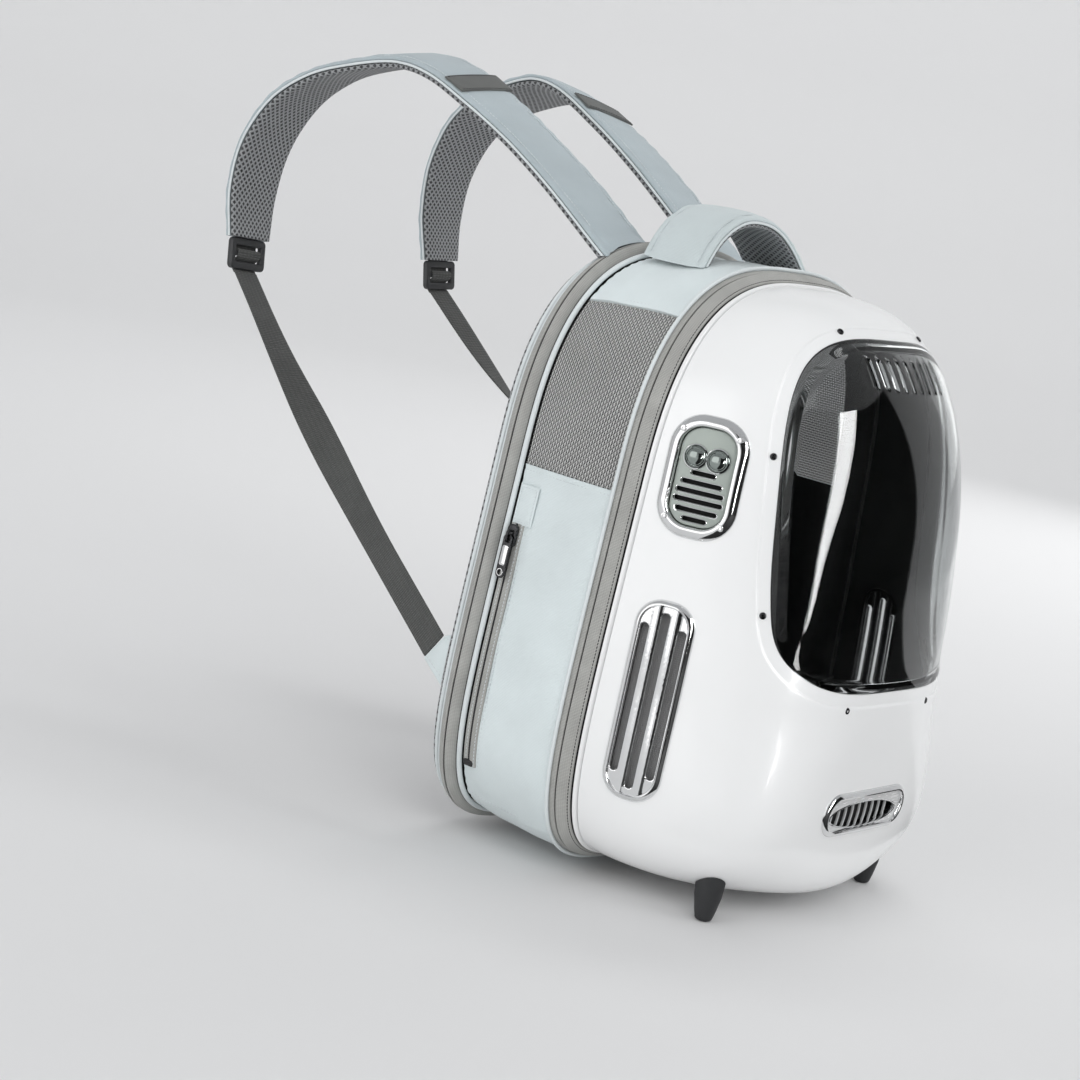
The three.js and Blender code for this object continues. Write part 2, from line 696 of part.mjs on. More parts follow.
// Front vent: an oval plate with a mouth, and a comb of upright louvres behind the mouth
function frontVentBezel() {
  const rows = [
    { sizes: FRONT_VENT, grow: 0, h: BEZEL.seat },
    { sizes: FRONT_VENT, grow: -1, h: BEZEL.shoulder },
    { sizes: LOUVRE_MOUTH, grow: 1.2, h: BEZEL.shoulder },
    { sizes: LOUVRE_MOUTH, grow: 0, h: BEZEL.lip },
    { sizes: LOUVRE_MOUTH, grow: 0, h: -BEZEL.depth },
    { sizes: FRONT_VENT, grow: -BEZEL_HOLE - FITTING_GAP, h: -BEZEL.depth },
    { sizes: FRONT_VENT, grow: -BEZEL_HOLE - FITTING_GAP, h: BEZEL.seat },
  ];
  return loft(rows.map(({ sizes, grow, h }) => {
    return outlineOf(sizes, grow, FRONT_VENT).map((p) => frontVentPatch.place(p.x, p.y, h));
  }), true);
}

function frontVentLouvres() {
  const { rise, halfWidth, halfHeight } = LOUVRE_MOUTH;
  const { count, pitch, thickness, depth, set, rail, recess } = LOUVRES;
  const level = -set - depth / 2;
  const reach = halfHeight - rail / 2;
  const rails = [-1, 1].map((s) => block(
    frontVentPatch, V3(0, rise + s * reach, level), V3(halfWidth - rail, rail, depth / 2)));
  const blades = range(count, (i) => {
    const u = pitch * (i - (count - 1) / 2);
    return block(frontVentPatch, V3(u, rise, level), V3(thickness / 2, reach, depth / 2 - recess));
  });
  return joined([...rails, ...blades]);
}
add("front_vent_bezel", frontVentBezel(), "chrome");
add("front_vent_louvres", frontVentLouvres(), "plastic");

// Feet, seated on the shell
function foot() {
  const upright = {
    flat: (u, v, h) => V3(-FOOT.x + u, FOOT.y + v, h),
  };
  const peg = turned(upright, V2(0, 0), FOOT_PROFILE.map(({ radius, z }) => [radius, z]), 12);
  return cut(peg, [shellVolume(0.5)]);
}
const footLeft = foot();
add("foot_left", footLeft, "rubber");
add("foot_right", mirrored(footLeft), "rubber");

// Sewn rings
const bodyBand = (section) => loft(section.map(([y, height]) => bodyRing(y, height)), true);
const pipingSection = ({ y, height, radius }) =>
  range(PIPING_SIDES, (i) => {
    const angle = (2 * Math.PI * i) / PIPING_SIDES;
    return [y + radius * Math.sin(angle), height + radius * Math.cos(angle)];
  });
add("front_zip", bodyBand(FRONT_ZIP), "tape");
add("rear_zip", bodyBand(REAR_ZIP), "tape");
add("front_piping", bodyBand(pipingSection(FRONT_PIPING)), "piping");
add("rear_piping", bodyBand(pipingSection(REAR_PIPING)), "piping");

// Gusset panels between the rings, each a strip of cloth along a stretch of the outline
function gussetHeight(y) {
  const after = Math.max(1, GUSSET_PROFILE.findIndex((p) => p.y <= y));
  const [a, b] = [GUSSET_PROFILE[after - 1], GUSSET_PROFILE[after]];
  return lerp(a.height, b.height, (y - a.y) / (b.y - a.y));
}

function gussetPanel(from, to, steps, { cloth, sink }) {
  const gap = PANEL_GAP / 2 / body.total;
  const section = [
    ...GUSSET_PROFILE.map(({ y, height }) => [y, height - sink]),
    ...GUSSET_PROFILE.toReversed().map(({ y, height }) => [y, height - sink - cloth]),
  ];
  return loft(range(steps + 1, (i) => {
    const share = lerp(from + gap, to - gap, i / steps);
    return section.map(([y, height]) => bodyPoint(share, height, y));
  }));
}

const meshTop = body.shareAtHeight(MESH_TOP);
const meshBottom = body.shareAtHeight(MESH_BOTTOM);
const bottomSeam = body.shareAtHeight(BOTTOM_SEAM);
const PANELS = [
  { name: "gusset_top", from: -meshTop, to: meshTop, steps: 15, finish: "cloth" },
  { name: "mesh_panel_left", from: meshTop, to: meshBottom, steps: 5, finish: "mesh" },
  { name: "gusset_left", from: meshBottom, to: bottomSeam, steps: 9, finish: "cloth" },
  { name: "gusset_bottom", from: bottomSeam, to: 1 - bottomSeam, steps: 13, finish: "cloth" },
];
PANELS.forEach(({ name, from, to, steps, finish }) => {
  const panel = gussetPanel(from, to, steps, PANEL_CLOTH[finish]);
  add(name, panel, finish);
  if (name.endsWith("_left")) add(name.replace("_left", "_right"), mirrored(panel), finish);
});

// Padded back panel
function backRows(grow) {
  return BACK_PANEL.map(({ y, inset }, i) => bodyRing(i > 0 ? y + grow : y, -inset + grow));
}
add("back_panel", loft(backRows(0)), "airMesh");

// Solid of the sewn body's rear, a little grown, from which straps and tabs are cut clear
function rearVolume(grow) {
  return loft([
    bodyRing(-80, 5 + grow),
    bodyRing(-9, 5 + grow),
    bodyRing(-4.6, 3 + grow),
    bodyRing(-0.4, -2 + grow),
    ...backRows(grow),
  ]);
}

// Strip along a path: rows of the path give its middle, across is the width's direction,
// and the section is a list of places across the width and of heights over the path
function ribbon(stations, section) {
  return loft(stations.map((station) =>
    section(station).map(([w, h]) =>
      station.point.clone().addScaledVector(station.across, w).addScaledVector(station.normal, h))));
}

function stationsAlong(rows, steps, acrossAt) {
  const curve = new THREE.CatmullRomCurve3(rows.map(({ x, y, z }) => V3(x, y, z)));
  return range(steps + 1, (i) => {
    const share = i / steps;
    const point = curve.getPointAt(share);
    const tangent = curve.getTangentAt(share);
    const place = curve.getUtoTmapping(share) * (rows.length - 1);
    const row = Math.min(Math.floor(place), rows.length - 2);
    const value = (key) => lerp(rows[row][key] ?? 0, rows[row + 1][key] ?? 0, place - row);
    const across = acrossAt(share, value);
    across.addScaledVector(tangent, -across.dot(tangent)).normalize();
    return { share, point, tangent, across, normal: across.clone().cross(tangent), width: value("width") };
  });
}

// Roll tips the strap's outer edge down, as a shoulder does
const strapAcross = (share, value) => {
  const roll = THREE.MathUtils.degToRad(value("roll"));
  return V3(Math.cos(roll), 0, Math.sin(roll));
};
const layer = (low, high, crown) => ({ width }) => [
  [-width / 2 + 4, low],
  [0, low],
  [width / 2 - 4, low],
  [width / 2, (low + high) / 2],
  [width / 2 - 4, high - crown],
  [0, high],
  [-width / 2 + 4, high - crown],
  [-width / 2, (low + high) / 2],
];
// The same section wound the other way, so that its facets lie along those of the layer over it
const underlay = (low, high) => (station) => layer(low, high, 0)(station).toReversed();

const strapStations = stationsAlong(STRAP_PATH, STRAP_STEPS, strapAcross);
const rearClear = rearVolume(FITTING_GAP);
const strapCover = cut(ribbon(strapStations, layer(-STRAP_COVER, 0, 1)), [rearClear]);
const strapPad = cut(
  ribbon(strapStations, underlay(-STRAP_COVER - STRAP_PAD, -STRAP_COVER - LAYER_GAP)), [rearClear]);

function strapBand() {
  const { from, to, height, edgeInset, edgeDrop } = STRAP_BAND;
  const fine = stationsAlong(STRAP_PATH, STRAP_STEPS * 4, strapAcross);
  const inBand = fine.filter(({ share }) => share >= from && share <= to);
  const edge = LAYER_GAP - edgeDrop;
  return ribbon(inBand, ({ width }) => {
    const half = width / 2 - edgeInset;
    return [
      [-half, edge],
      [0, LAYER_GAP],
      [half, edge],
      [half, edge + height],
      [0, LAYER_GAP + height],
      [-half, edge + height],
    ];
  });
}

// Adjuster at the strap's lower end, a flat ladder of three bars
const strapEnd = strapStations.at(-1);
const adjusterPatch = {
  flat: (u, v, h) => strapEnd.point.clone()
    .addScaledVector(strapEnd.across, u)
    .addScaledVector(strapEnd.tangent, v)
    .addScaledVector(strapEnd.normal, h - STRAP_COVER),
};
const adjusterMiddle = ADJUSTER.length / 2 + FITTING_GAP;

function adjuster() {
  const { width, length, thickness, slotWidth, slotLength, bar } = ADJUSTER;
  const outline = roundedRect(width / 2, length / 2, 4, V2(0, adjusterMiddle), 2);
  const slots = [-1, 1].map((s) => {
    const centre = V2(0, adjusterMiddle + s * (slotLength + bar) / 2);
    return roundedRect(slotWidth / 2, slotLength / 2, 1, centre, 1);
  });
  return prism(adjusterPatch, outline, -thickness / 2, thickness / 2, slots);
}

// Webbing from the adjuster back to the tab; it turns from lying flat to standing on edge
const tabTip = V3(STRAP_TAB.x, STRAP_TAB.tipY, STRAP_TAB.tipZ);
const webbingStart = adjusterPatch.flat(0, adjusterMiddle + ADJUSTER.length / 2 + WEBBING.startGap, 0);

function webbing() {
  const direction = webbingStart.clone().sub(tabTip).normalize();
  const end = tabTip.clone().addScaledVector(direction, WEBBING.endGap);
  const lower = end.clone().lerp(webbingStart, 0.35).add(V3(-2, 0, -WEBBING.sag));
  const upper = end.clone().lerp(webbingStart, 0.75).add(V3(0, 2, -WEBBING.sag));
  const standing = V3(0, -direction.z, direction.y);
  const { from, to } = WEBBING_TURN;
  const turn = (share) => {
    return strapEnd.across.clone().lerp(standing, THREE.MathUtils.smoothstep(share, from, to));
  };
  const stations = stationsAlong([webbingStart, upper, lower, end], WEBBING.steps, turn);
  const half = V2(WEBBING.width / 2, WEBBING.thickness / 2);
  return ribbon(stations, () => [[-half.x, -half.y], [half.x, -half.y], [half.x, half.y], [-half.x, half.y]]);
}

// Tab that anchors the webbing in the seam beside the back panel
function strapTab() {
  const { x, low, high, rootY, tipY, tipZ, tipWidth, thickness } = STRAP_TAB;
  const run = webbingStart.clone().sub(tabTip).normalize();
  const slope = V2(-run.z, run.y).multiplyScalar(tipWidth / 2);
  const corners = [
    V2(rootY, low),
    V2(tipY - slope.x, tipZ - slope.y),
    V2(tipY + slope.x, tipZ + slope.y),
    V2(rootY, high),
  ];
  const sheet = loft([-0.5, 0.5].map((s) => corners.map((p) => V3(x + s * thickness, p.x, p.y))));
  return cut(sheet, [rearClear]);
}

const STRAP_PIECES = [
  { name: "strap", geometry: strapCover, finish: "cloth" },
  { name: "strap_pad", geometry: strapPad, finish: "airMesh" },
  { name: "strap_band", geometry: strapBand(), finish: "webbing" },
  { name: "adjuster", geometry: adjuster(), finish: "plastic" },
  { name: "webbing", geometry: webbing(), finish: "webbing" },
  { name: "strap_tab", geometry: strapTab(), finish: "cloth" },
];
STRAP_PIECES.forEach(({ name, geometry, finish }) => {
  add(name + "_left", geometry, finish);
  add(name + "_right", mirrored(geometry), finish);
});

// Carry handle: a padded strip bent over the hand, cut where it is sewn to the gusset
function handleLayer(section) {
  const rows = HANDLE_PATH.map(({ x, z }) => ({ x, y: HANDLE.y, z, width: HANDLE.width }));
  const stations = stationsAlong(rows, HANDLE.steps, () => V3(0, -1, 0));
  const top = loft([bodyRing(-125, 3), bodyRing(-10, 3)]);
  return cut(ribbon(stations, section), [top]);
}
add("carry_handle", handleLayer(layer(-HANDLE.cover, 0, 2)), "cloth");
const handlePad = underlay(-HANDLE.cover - HANDLE.pad, -HANDLE.cover - LAYER_GAP);
add("carry_handle_pad", handleLayer(handlePad), "airMesh");

// Pocket zip: a tape on the left panel with its coil raised
function pocketZip() {
  const { rearY, coilY, frontY, top, bottom, steps } = POCKET_ZIP;
  const { lift, thickness, coilWidth, coilRise } = POCKET_TAPE;
  const columns = [
    { y: rearY, rise: 0 },
    { y: coilY + coilWidth / 2, rise: 0 },
    { y: coilY, rise: coilRise },
    { y: coilY - coilWidth / 2, rise: 0 },
    { y: frontY, rise: 0 },
  ];
  const section = [
    ...columns.map(({ y, rise }) => [y, gussetHeight(y) + lift + thickness + rise]),
    ...columns.toReversed().map(({ y }) => [y, gussetHeight(y) + lift]),
  ];
  const [from, to] = [top, bottom].map(body.shareAtHeight);
  return loft(range(steps + 1, (i) => {
    const share = lerp(from, to, i / steps);
    return section.map(([y, height]) => bodyPoint(share, height, y));
  }));
}
add("pocket_zip", pocketZip(), "tape");

// Local frame on the gusset's left side: across runs along +Y, up along the outline
function gussetPatch(y, z, height) {
  const share = body.shareAtHeight(z);
  const centre = bodyPoint(share, height, y);
  const up = bodyPoint(share - 0.005, height, y).sub(bodyPoint(share + 0.005, height, y)).normalize();
  const across = V3(0, -1, 0);
  const normal = across.clone().cross(up);
  const frameOf = { across, up, normal };
  return { ...frameOf, centre, flat: (u, v, h) => inFrame(frameOf, centre, u, v, h) };
}

const sliderPatch = gussetPatch(SLIDER.y, SLIDER.z, gussetHeight(SLIDER.y) + SLIDER.lift);

function sliderWithCrown() {
  const { width, length, corner, low, thickness } = SLIDER;
  const outline = roundedRect(width / 2, length / 2, corner, V2(0, 0), 2);
  const bodyPlate = prism(sliderPatch, outline, low, thickness);
  const legs = [-1, 1].map((s) => block(
    sliderPatch,
    V3(0, s * (CROWN.clear + CROWN.leg) / 2, thickness + CROWN.clearHeight / 2),
    V3(CROWN.width / 2, CROWN.leg / 2, CROWN.clearHeight / 2 + 0.4),
  ));
  const bridge = block(
    sliderPatch,
    V3(0, 0, thickness + CROWN.clearHeight + CROWN.leg / 2),
    V3(CROWN.width / 2, CROWN.clear / 2 + CROWN.leg, CROWN.leg / 2),
  );
  return joined([bodyPlate, ...legs, bridge]);
}

function sliderPull() {
  const { pivot, thickness, width, length, holeRadius } = PULL;
  const height = SLIDER.thickness + pivot;
  const bar = thickness / 2;
  const tag = roundedRect(width / 2, (length + bar) / 2, width / 2 - 0.3, V2(0, (bar - length) / 2), 4);
  const eyeMiddle = V2(0, -(PULL_EYE.length + bar) / 2);
  const eye = roundedRect(PULL_EYE.width / 2, (PULL_EYE.length - bar) / 2, bar, eyeMiddle, 2);
  const hole = slotOutline(holeRadius, holeRadius, V2(0, width / 2 + 0.5 - length), 2);
  return prism(sliderPatch, tag, height - bar, height + bar, [eye, hole]);
}
add("pocket_slider", sliderWithCrown(), "steel");
add("pocket_pull", sliderPull(), "steel");

// Plain sliders of the two main zips, on the right side
HIDDEN_SLIDERS.forEach(({ name, y, z, height }) => {
  const patch = gussetPatch(y, z, height);
  const plates = HIDDEN_SLIDER_PLATES.map(({ halfWidth, halfLength, rise, low, high }) => {
    return prism(patch, roundedRect(halfWidth, halfLength, SLIDER.corner, V2(0, rise), 1), low, high);
  });
  add(name, mirrored(joined(plates)), "steel");
});

export default part;
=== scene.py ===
"""Looks of a hard-fronted pet carrier backpack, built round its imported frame.

Shapes are worked out in millimetres in the bag's own axes: x to the right seen from the front, y toward the
wearer, z up from the bottom of the gusset. The Builder turns them into the frame's metres.
"""

import math

import bmesh
import bpy
import numpy as np
from mathutils import Matrix, Vector


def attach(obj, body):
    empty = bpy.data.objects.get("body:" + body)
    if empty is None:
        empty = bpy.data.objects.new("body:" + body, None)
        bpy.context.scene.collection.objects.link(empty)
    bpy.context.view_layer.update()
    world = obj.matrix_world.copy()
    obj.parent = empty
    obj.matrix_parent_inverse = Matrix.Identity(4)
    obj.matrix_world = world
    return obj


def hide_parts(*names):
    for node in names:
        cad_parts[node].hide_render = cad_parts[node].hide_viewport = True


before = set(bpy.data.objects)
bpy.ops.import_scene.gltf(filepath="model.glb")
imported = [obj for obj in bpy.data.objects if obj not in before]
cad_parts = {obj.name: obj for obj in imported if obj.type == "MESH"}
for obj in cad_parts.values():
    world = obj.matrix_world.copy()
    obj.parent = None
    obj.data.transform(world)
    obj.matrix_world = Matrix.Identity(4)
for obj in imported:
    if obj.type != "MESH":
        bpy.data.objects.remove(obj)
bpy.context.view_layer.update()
SCENE = bpy.context.scene
MM = 0.001
FRAME_SHIFT = np.array([0.0, -12.0, -235.0])
LEFT_RIGHT = (("left", 1), ("right", -1))

# Body, window and dome, as in the part
BODY_SIZES = dict(half_width=167.5, top=455, waist=291.5, bottom=0, top_power=2.8, bottom_power=6,
                  widen=-0.00043)
WINDOW_SIZES = dict(half_width=120, top=424.8, waist=233, bottom=171.5, top_power=3.43, bottom_power=4,
                    widen=0.00048)
RIM_Y = -134
RIM_INSET = 6.6
POLE_HEIGHT = 158.8
DOME_DEPTH = 144.9
DOME_LEAN = -11.2
DOME_FALL = dict(side=0.506, top=1.059, bottom=0.239)
DOME_RISE = dict(side=1.687, top=0.49, bottom=0.488)
DOME_BULGE = dict(side=-0.03, top=-0.15, bottom=0.129)
SHELL_WALL = 3.0
SHELL_STATIONS = 320
SHELL_ROWS = 56
# Rows beside the window's edge, by their distance from it; the first few keep that distance as it is
LAND_ROWS = [0, 0.3, 0.7, 1.4, 3, 5, 7, 8.4, 9, 9.5, 10, 10.5, 11, 12, 14, 17]
EDGE_ROWS = 4
EDGE_RADIUS = 0.5
WINDOW_EDGE_POINTS = 1200
CURVE_POINTS = 500
# The inside has every fourth row, and its rows next to the window are not lined
INNER_STEP = 4
BARE_ROWS = 7
SHELL_INSIDE = [0, -60, POLE_HEIGHT]
# Rim lip of the shell: y and inset from the body's outline, from the dome to the inside
RIM_LIP = [(-133.9, 8.6), (-132.9, 8.8), (-132.7, 6.2), (-132.2, 5.3), (-131.4, 4.9), (-130.2, 4.7),
           (-129.6, 5.2), (-129.6, 8.6)]
LAND = dict(width=9.0, blend=2.0, depth=1.0)
HOLE = dict(inset=2.2, low=-26, high=12)
PANE = dict(bulge=6.0, power=2.4, hug=14, wall=3.0, gap=0.5, seat=6.2, flange=6.0, flange_wall=2.5,
            stations=240, rings=46)
PANE_SLOTS = dict(count=9, spread=92.0, width=4.0, height=22.0, z=401.0, front=-330, rear=-120)
WINDOW_SCREWS = [(57.5, 426.5), (125.5, 334), (123.2, 221.4), (57.8, 160)]

# Fittings
MODULE = dict(half_w=30, half_h=45, radius=25)
MODULE_SPOT = dict(y=-171, z=308.5)
# Slots of the module's plate: height of the middle and length
MODULE_SLOTS = [(2.5, 18), (-4.5, 30), (-11, 35), (-17.5, 36), (-24.5, 31), (-31, 18)]
MODULE_SLOT_HALF = 1.6
BEZEL_SCREWS = dict(across=21, up=32)
PLATE_TOP = -0.8
BUTTON = dict(across=8.3, rise=14, radius=7.6)
FLANK_VENT = dict(half_w=23, half_h=74.5, radius=20)
FLANK_SPOT = dict(y=-171, z=143)
FRONT_VENT = dict(half_w=57.5, half_h=17, radius=16.9)
FRONT_SPOT_Z = 78
MOUTH = dict(half_w=47, half_h=9.6, centre=(0, -2.6))
FINS = dict(count=9, pitch=9.6, bow=1.3, shift=-0.6, low=-12.0, high=6.8)
FOOT_SPOT = (113, -226)

# Sewn rings and gusset
FRONT_PIPING = dict(y=-112.2, height=3.1, radius=1.5)
REAR_PIPING = dict(y=-20.8, height=-2.6, radius=2.1)
GUSSET_Y = [-23.4, -45, -80, -111.6]
GUSSET_HEIGHT = [-4.4, -1, 1.5, 1.6]
GUSSET_WIDTH = GUSSET_Y[0] - GUSSET_Y[-1]
HEM = dict(line=4, start=5, end=7, rise=0.7, dip=0.5)
CLOTH_WALL = 2.0
# Net of the mesh panels: spacing, rise and fall, half width and height of a thread, place of its middle
NET = dict(pitch=2.1, wave=0.4, half=(0.58, 0.3), sunk=-1.2)
# Width of the flat cloth, in metres
MESH_TOP, MESH_BOTTOM, BOTTOM_SEAM = 413, 284, 22

# Straps: middle of the upper face, width and roll of the wearer's left strap
STRAP_PATH = [
    (-68, -22, 442, 64, 4), (-71, 0, 458, 64, 4), (-74, 51, 493, 64, 4), (-78, 95, 520, 64, 4),
    (-82, 140, 543, 64, 6), (-86, 185, 562, 64, 8), (-90, 216, 566, 64, 9), (-100, 260, 556, 63, 9),
    (-108, 298, 540, 62, 9), (-114, 330, 513, 60, 8), (-119, 351, 472, 57, 6), (-122, 355, 428, 52, 3),
    (-124, 348, 388, 44, 0),
]
STRAP_COVER, STRAP_PAD = 6.0, 6.0
STRAP_BAND = (0.375, 0.415)
ADJUSTER = dict(width=40, length=26, thickness=5, slot_width=29, slot_length=4.5, bar=4.5, loop_half=13.0,
                loop_wall=0.75)
WEBBING = dict(width=25, thickness=1.8, sag=6, start_gap=2, end_gap=1.2)
STRAP_TAB = dict(x=-172.5, low=88, high=150, root_y=-9, tip_y=22, tip_z=128, tip_width=27, thickness=2.6,
                 cloth_area=0.00066)
HANDLE_PATH = [(-88, 432), (-80, 454), (-63, 478), (-36, 493), (-6, 495), (20, 489), (44, 476), (68, 457),
               (88, 436)]
HANDLE = dict(y=-58, width=57)
POCKET_ZIP = dict(coil=-31.0, top=240, bottom=50)
SLIDER = dict(z=230, y=-31, low=0.3, thickness=3.6, lift=2.6)


def unit(v):
    """Vectors of length 1."""
    v = np.asarray(v, float)
    return v / np.linalg.norm(v, axis=-1, keepdims=True)


def smooth(x, low, high):
    """0 below low, 1 above high, smooth in between."""
    t = np.clip((np.asarray(x, float) - low) / (high - low), 0, 1)
    return t * t * (3 - 2 * t)


def turns(count):
    """Angles all the way round, the last one short of the first."""
    return np.linspace(0, 2 * np.pi, count, endpoint=False)


def shares(count):
    """Shares from 0, the last one short of 1."""
    return np.arange(count) / count


def run_along(points):
    """Length along a line of points, up to each of them."""
    return np.concatenate([[0], np.cumsum(np.linalg.norm(np.diff(points, axis=0), axis=1))])


def points_at(spots, run, points):
    """Points at lengths along a line of points."""
    return np.stack([np.interp(spots, run, points[:, axis]) for axis in range(3)], 1)


def sorted_pair(key, value):
    """Two arrays in the order of the first."""
    order = np.argsort(key)
    return key[order], value[order]


class Outline:
    """Closed front outline: a superellipse with one power above its waist and another below it.

    A share runs from 0 at the top middle, down the left side, to 1 at the top middle again.
    """

    SAMPLES = 24000
    REACH = 2.5

    def __init__(self, half_width, top, waist, bottom, top_power, bottom_power, widen):
        turn = np.pi / 2 + np.linspace(0, 2 * np.pi, self.SAMPLES + 1)
        cos, sin = np.cos(turn), np.sin(turn)
        power = np.where(sin >= 0, top_power, bottom_power)
        height = np.where(sin >= 0, top - waist, waist - bottom)
        rise = np.sign(sin) * np.abs(sin) ** (2 / power) * height
        self.x = half_width * np.sign(cos) * np.abs(cos) ** (2 / power) * (1 + widen * rise)
        self.z = waist + rise
        self.run = np.concatenate([[0], np.cumsum(np.hypot(np.diff(self.x), np.diff(self.z)))])
        self.total = self.run[-1]

    def spot(self, run):
        run = np.mod(run, self.total)
        return np.interp(run, self.run, self.x), np.interp(run, self.run, self.z)

    def at(self, share, offset=0.0):
        """x and z at a share of the way round, moved outward by offset."""
        run = np.asarray(share, float) * self.total
        x, z = self.spot(run)
        ax, az = self.spot(run - self.REACH)
        bx, bz = self.spot(run + self.REACH)
        length = np.hypot(bx - ax, bz - az)
        return x + offset * (bz - az) / length, z - offset * (bx - ax) / length

    def share_at(self, z):
        """Share at which the left side passes the height z."""
        half = self.SAMPLES // 2
        return np.interp(-z, -self.z[:half], self.run[:half]) / self.total


BODY = Outline(**BODY_SIZES)
WINDOW = Outline(**WINDOW_SIZES)


def on_body(share, y, height):
    """Points over the body's outline; the three may be arrays that broadcast."""
    share, y, height = np.broadcast_arrays(share, np.asarray(y, float), height)
    x, z = BODY.at(share, height)
    return np.stack([x, y, z], -1)


class Dome:
    """Outer surface of the front shell, by the angle round its pole and the angle up from its rim."""

    def __init__(self):
        x, z = BODY.at(np.linspace(0, 1, 6000, endpoint=False), -RIM_INSET)
        angle = np.arctan2(z - POLE_HEIGHT, x)
        order = np.argsort(angle)
        reach = np.hypot(x, z - POLE_HEIGHT)[order]
        angle = angle[order]
        self.angle = np.concatenate([[angle[-1] - 2 * np.pi], angle, [angle[0] + 2 * np.pi]])
        self.reach = np.concatenate([[reach[-1]], reach, [reach[0]]])

    def rim(self, angle):
        return np.interp((angle + np.pi) % (2 * np.pi) - np.pi, self.angle, self.reach)

    def law(self, angle):
        lean = np.sin(angle)
        parts = []
        for law in (DOME_FALL, DOME_RISE, DOME_BULGE):
            toward = np.where(lean > 0, law["top"], law["bottom"])
            parts.append(law["side"] + (toward - law["side"]) * lean**2)
        return parts

    def point(self, angle, phi):
        fall, rise, bulge = self.law(angle)
        reach = np.maximum(np.cos(phi), 0) ** fall * (1 + bulge * np.sin(phi)) * self.rim(angle)
        z = POLE_HEIGHT + reach * np.sin(angle)
        depth = DOME_DEPTH + DOME_LEAN * (0.5 - z / BODY_SIZES["top"])
        return np.stack([reach * np.cos(angle), RIM_Y - depth * np.sin(phi) ** rise, z], -1)

    def widest(self, angle):
        """Angle up the dome at which it is widest, and its reach there as a share of the rim's."""
        fall, _, bulge = self.law(angle)
        phi = np.zeros_like(fall)
        for _ in range(8):
            phi = np.arctan(np.maximum(bulge, 0) / fall * np.cos(phi) / (1 + bulge * np.sin(phi)))
        return phi, np.cos(phi) ** fall * (1 + bulge * np.sin(phi))

    def phi(self, angle, reach):
        """Angle up the dome at which it is that far from the pole's axis."""
        fall, _, bulge = self.law(angle)
        low = self.widest(angle)[0]
        high = np.full_like(low, np.pi / 2)
        share = reach / self.rim(angle)
        for _ in range(30):
            middle = (low + high) / 2
            over = np.cos(middle) ** fall * (1 + bulge * np.sin(middle)) > share
            low, high = np.where(over, middle, low), np.where(over, high, middle)
        return (low + high) / 2

    def y(self, x, z):
        x, z = np.broadcast_arrays(np.asarray(x, float), np.asarray(z, float))
        angle = np.arctan2(z - POLE_HEIGHT, x)
        return self.point(angle, self.phi(angle, np.hypot(x, z - POLE_HEIGHT)))[..., 1]

    def normal(self, x, z, step=0.25):
        slope_x = (self.y(x + step, z) - self.y(x - step, z)) / (2 * step)
        slope_z = (self.y(x, z + step) - self.y(x, z - step)) / (2 * step)
        return unit(np.stack([slope_x, -np.ones_like(slope_x), slope_z], -1))

    def outside(self, p):
        angle = np.arctan2(p[..., 2] - POLE_HEIGHT, p[..., 0])
        reach = np.hypot(p[..., 0], p[..., 2] - POLE_HEIGHT)
        beyond = reach >= self.rim(angle) * self.widest(angle)[1]
        return beyond | (p[..., 1] < self.y(p[..., 0], p[..., 2]))


DOME = Dome()


class FlatDome:
    """The dome spread flat: each point keeps its angle round the pole and its length of arc from it."""

    ANGLES, STEPS = 1440, 360

    def __init__(self):
        self.turn = np.linspace(-np.pi, np.pi, self.ANGLES + 1)
        phi = (np.pi / 2) * (1 - np.linspace(0, 1, 2400) ** 3)
        self.points = np.zeros((self.ANGLES + 1, self.STEPS + 1, 3))
        self.length = np.zeros(self.ANGLES + 1)
        for i, angle in enumerate(self.turn):
            curve = DOME.point(np.full_like(phi, angle), phi)
            run = run_along(curve)
            self.length[i] = run[-1]
            self.points[i] = points_at(np.linspace(0, run[-1], self.STEPS + 1), run, curve)

    def to_dome(self, q):
        """Points on the dome for flat places."""
        turn = (np.arctan2(q[..., 1], q[..., 0]) + np.pi) / (2 * np.pi) * self.ANGLES
        column = np.clip(turn.astype(int), 0, self.ANGLES - 1)
        a = (turn - column)[..., None]
        length = self.length[column] * (1 - a[..., 0]) + self.length[column + 1] * a[..., 0]
        step = np.clip(np.hypot(q[..., 0], q[..., 1]) / length, 0, 1) * self.STEPS
        row = np.clip(step.astype(int), 0, self.STEPS - 1)
        b = (step - row)[..., None]
        near = self.points[column, row] * (1 - a) + self.points[column + 1, row] * a
        far = self.points[column, row + 1] * (1 - a) + self.points[column + 1, row + 1] * a
        return near * (1 - b) + far * b

    def from_front(self, x, z):
        """Flat places of points of the dome given as seen from the front."""
        angle = np.arctan2(z - POLE_HEIGHT, x)
        phi = DOME.phi(angle, np.hypot(x, z - POLE_HEIGHT))
        way = np.linspace(0, 1, 400)[:, None] ** 3
        curve = DOME.point(np.broadcast_to(angle, (400, len(angle))), np.pi / 2 + (phi - np.pi / 2) * way)
        length = np.linalg.norm(np.diff(curve, axis=0), axis=2).sum(0)
        return np.stack([length * np.cos(angle), length * np.sin(angle)], -1)


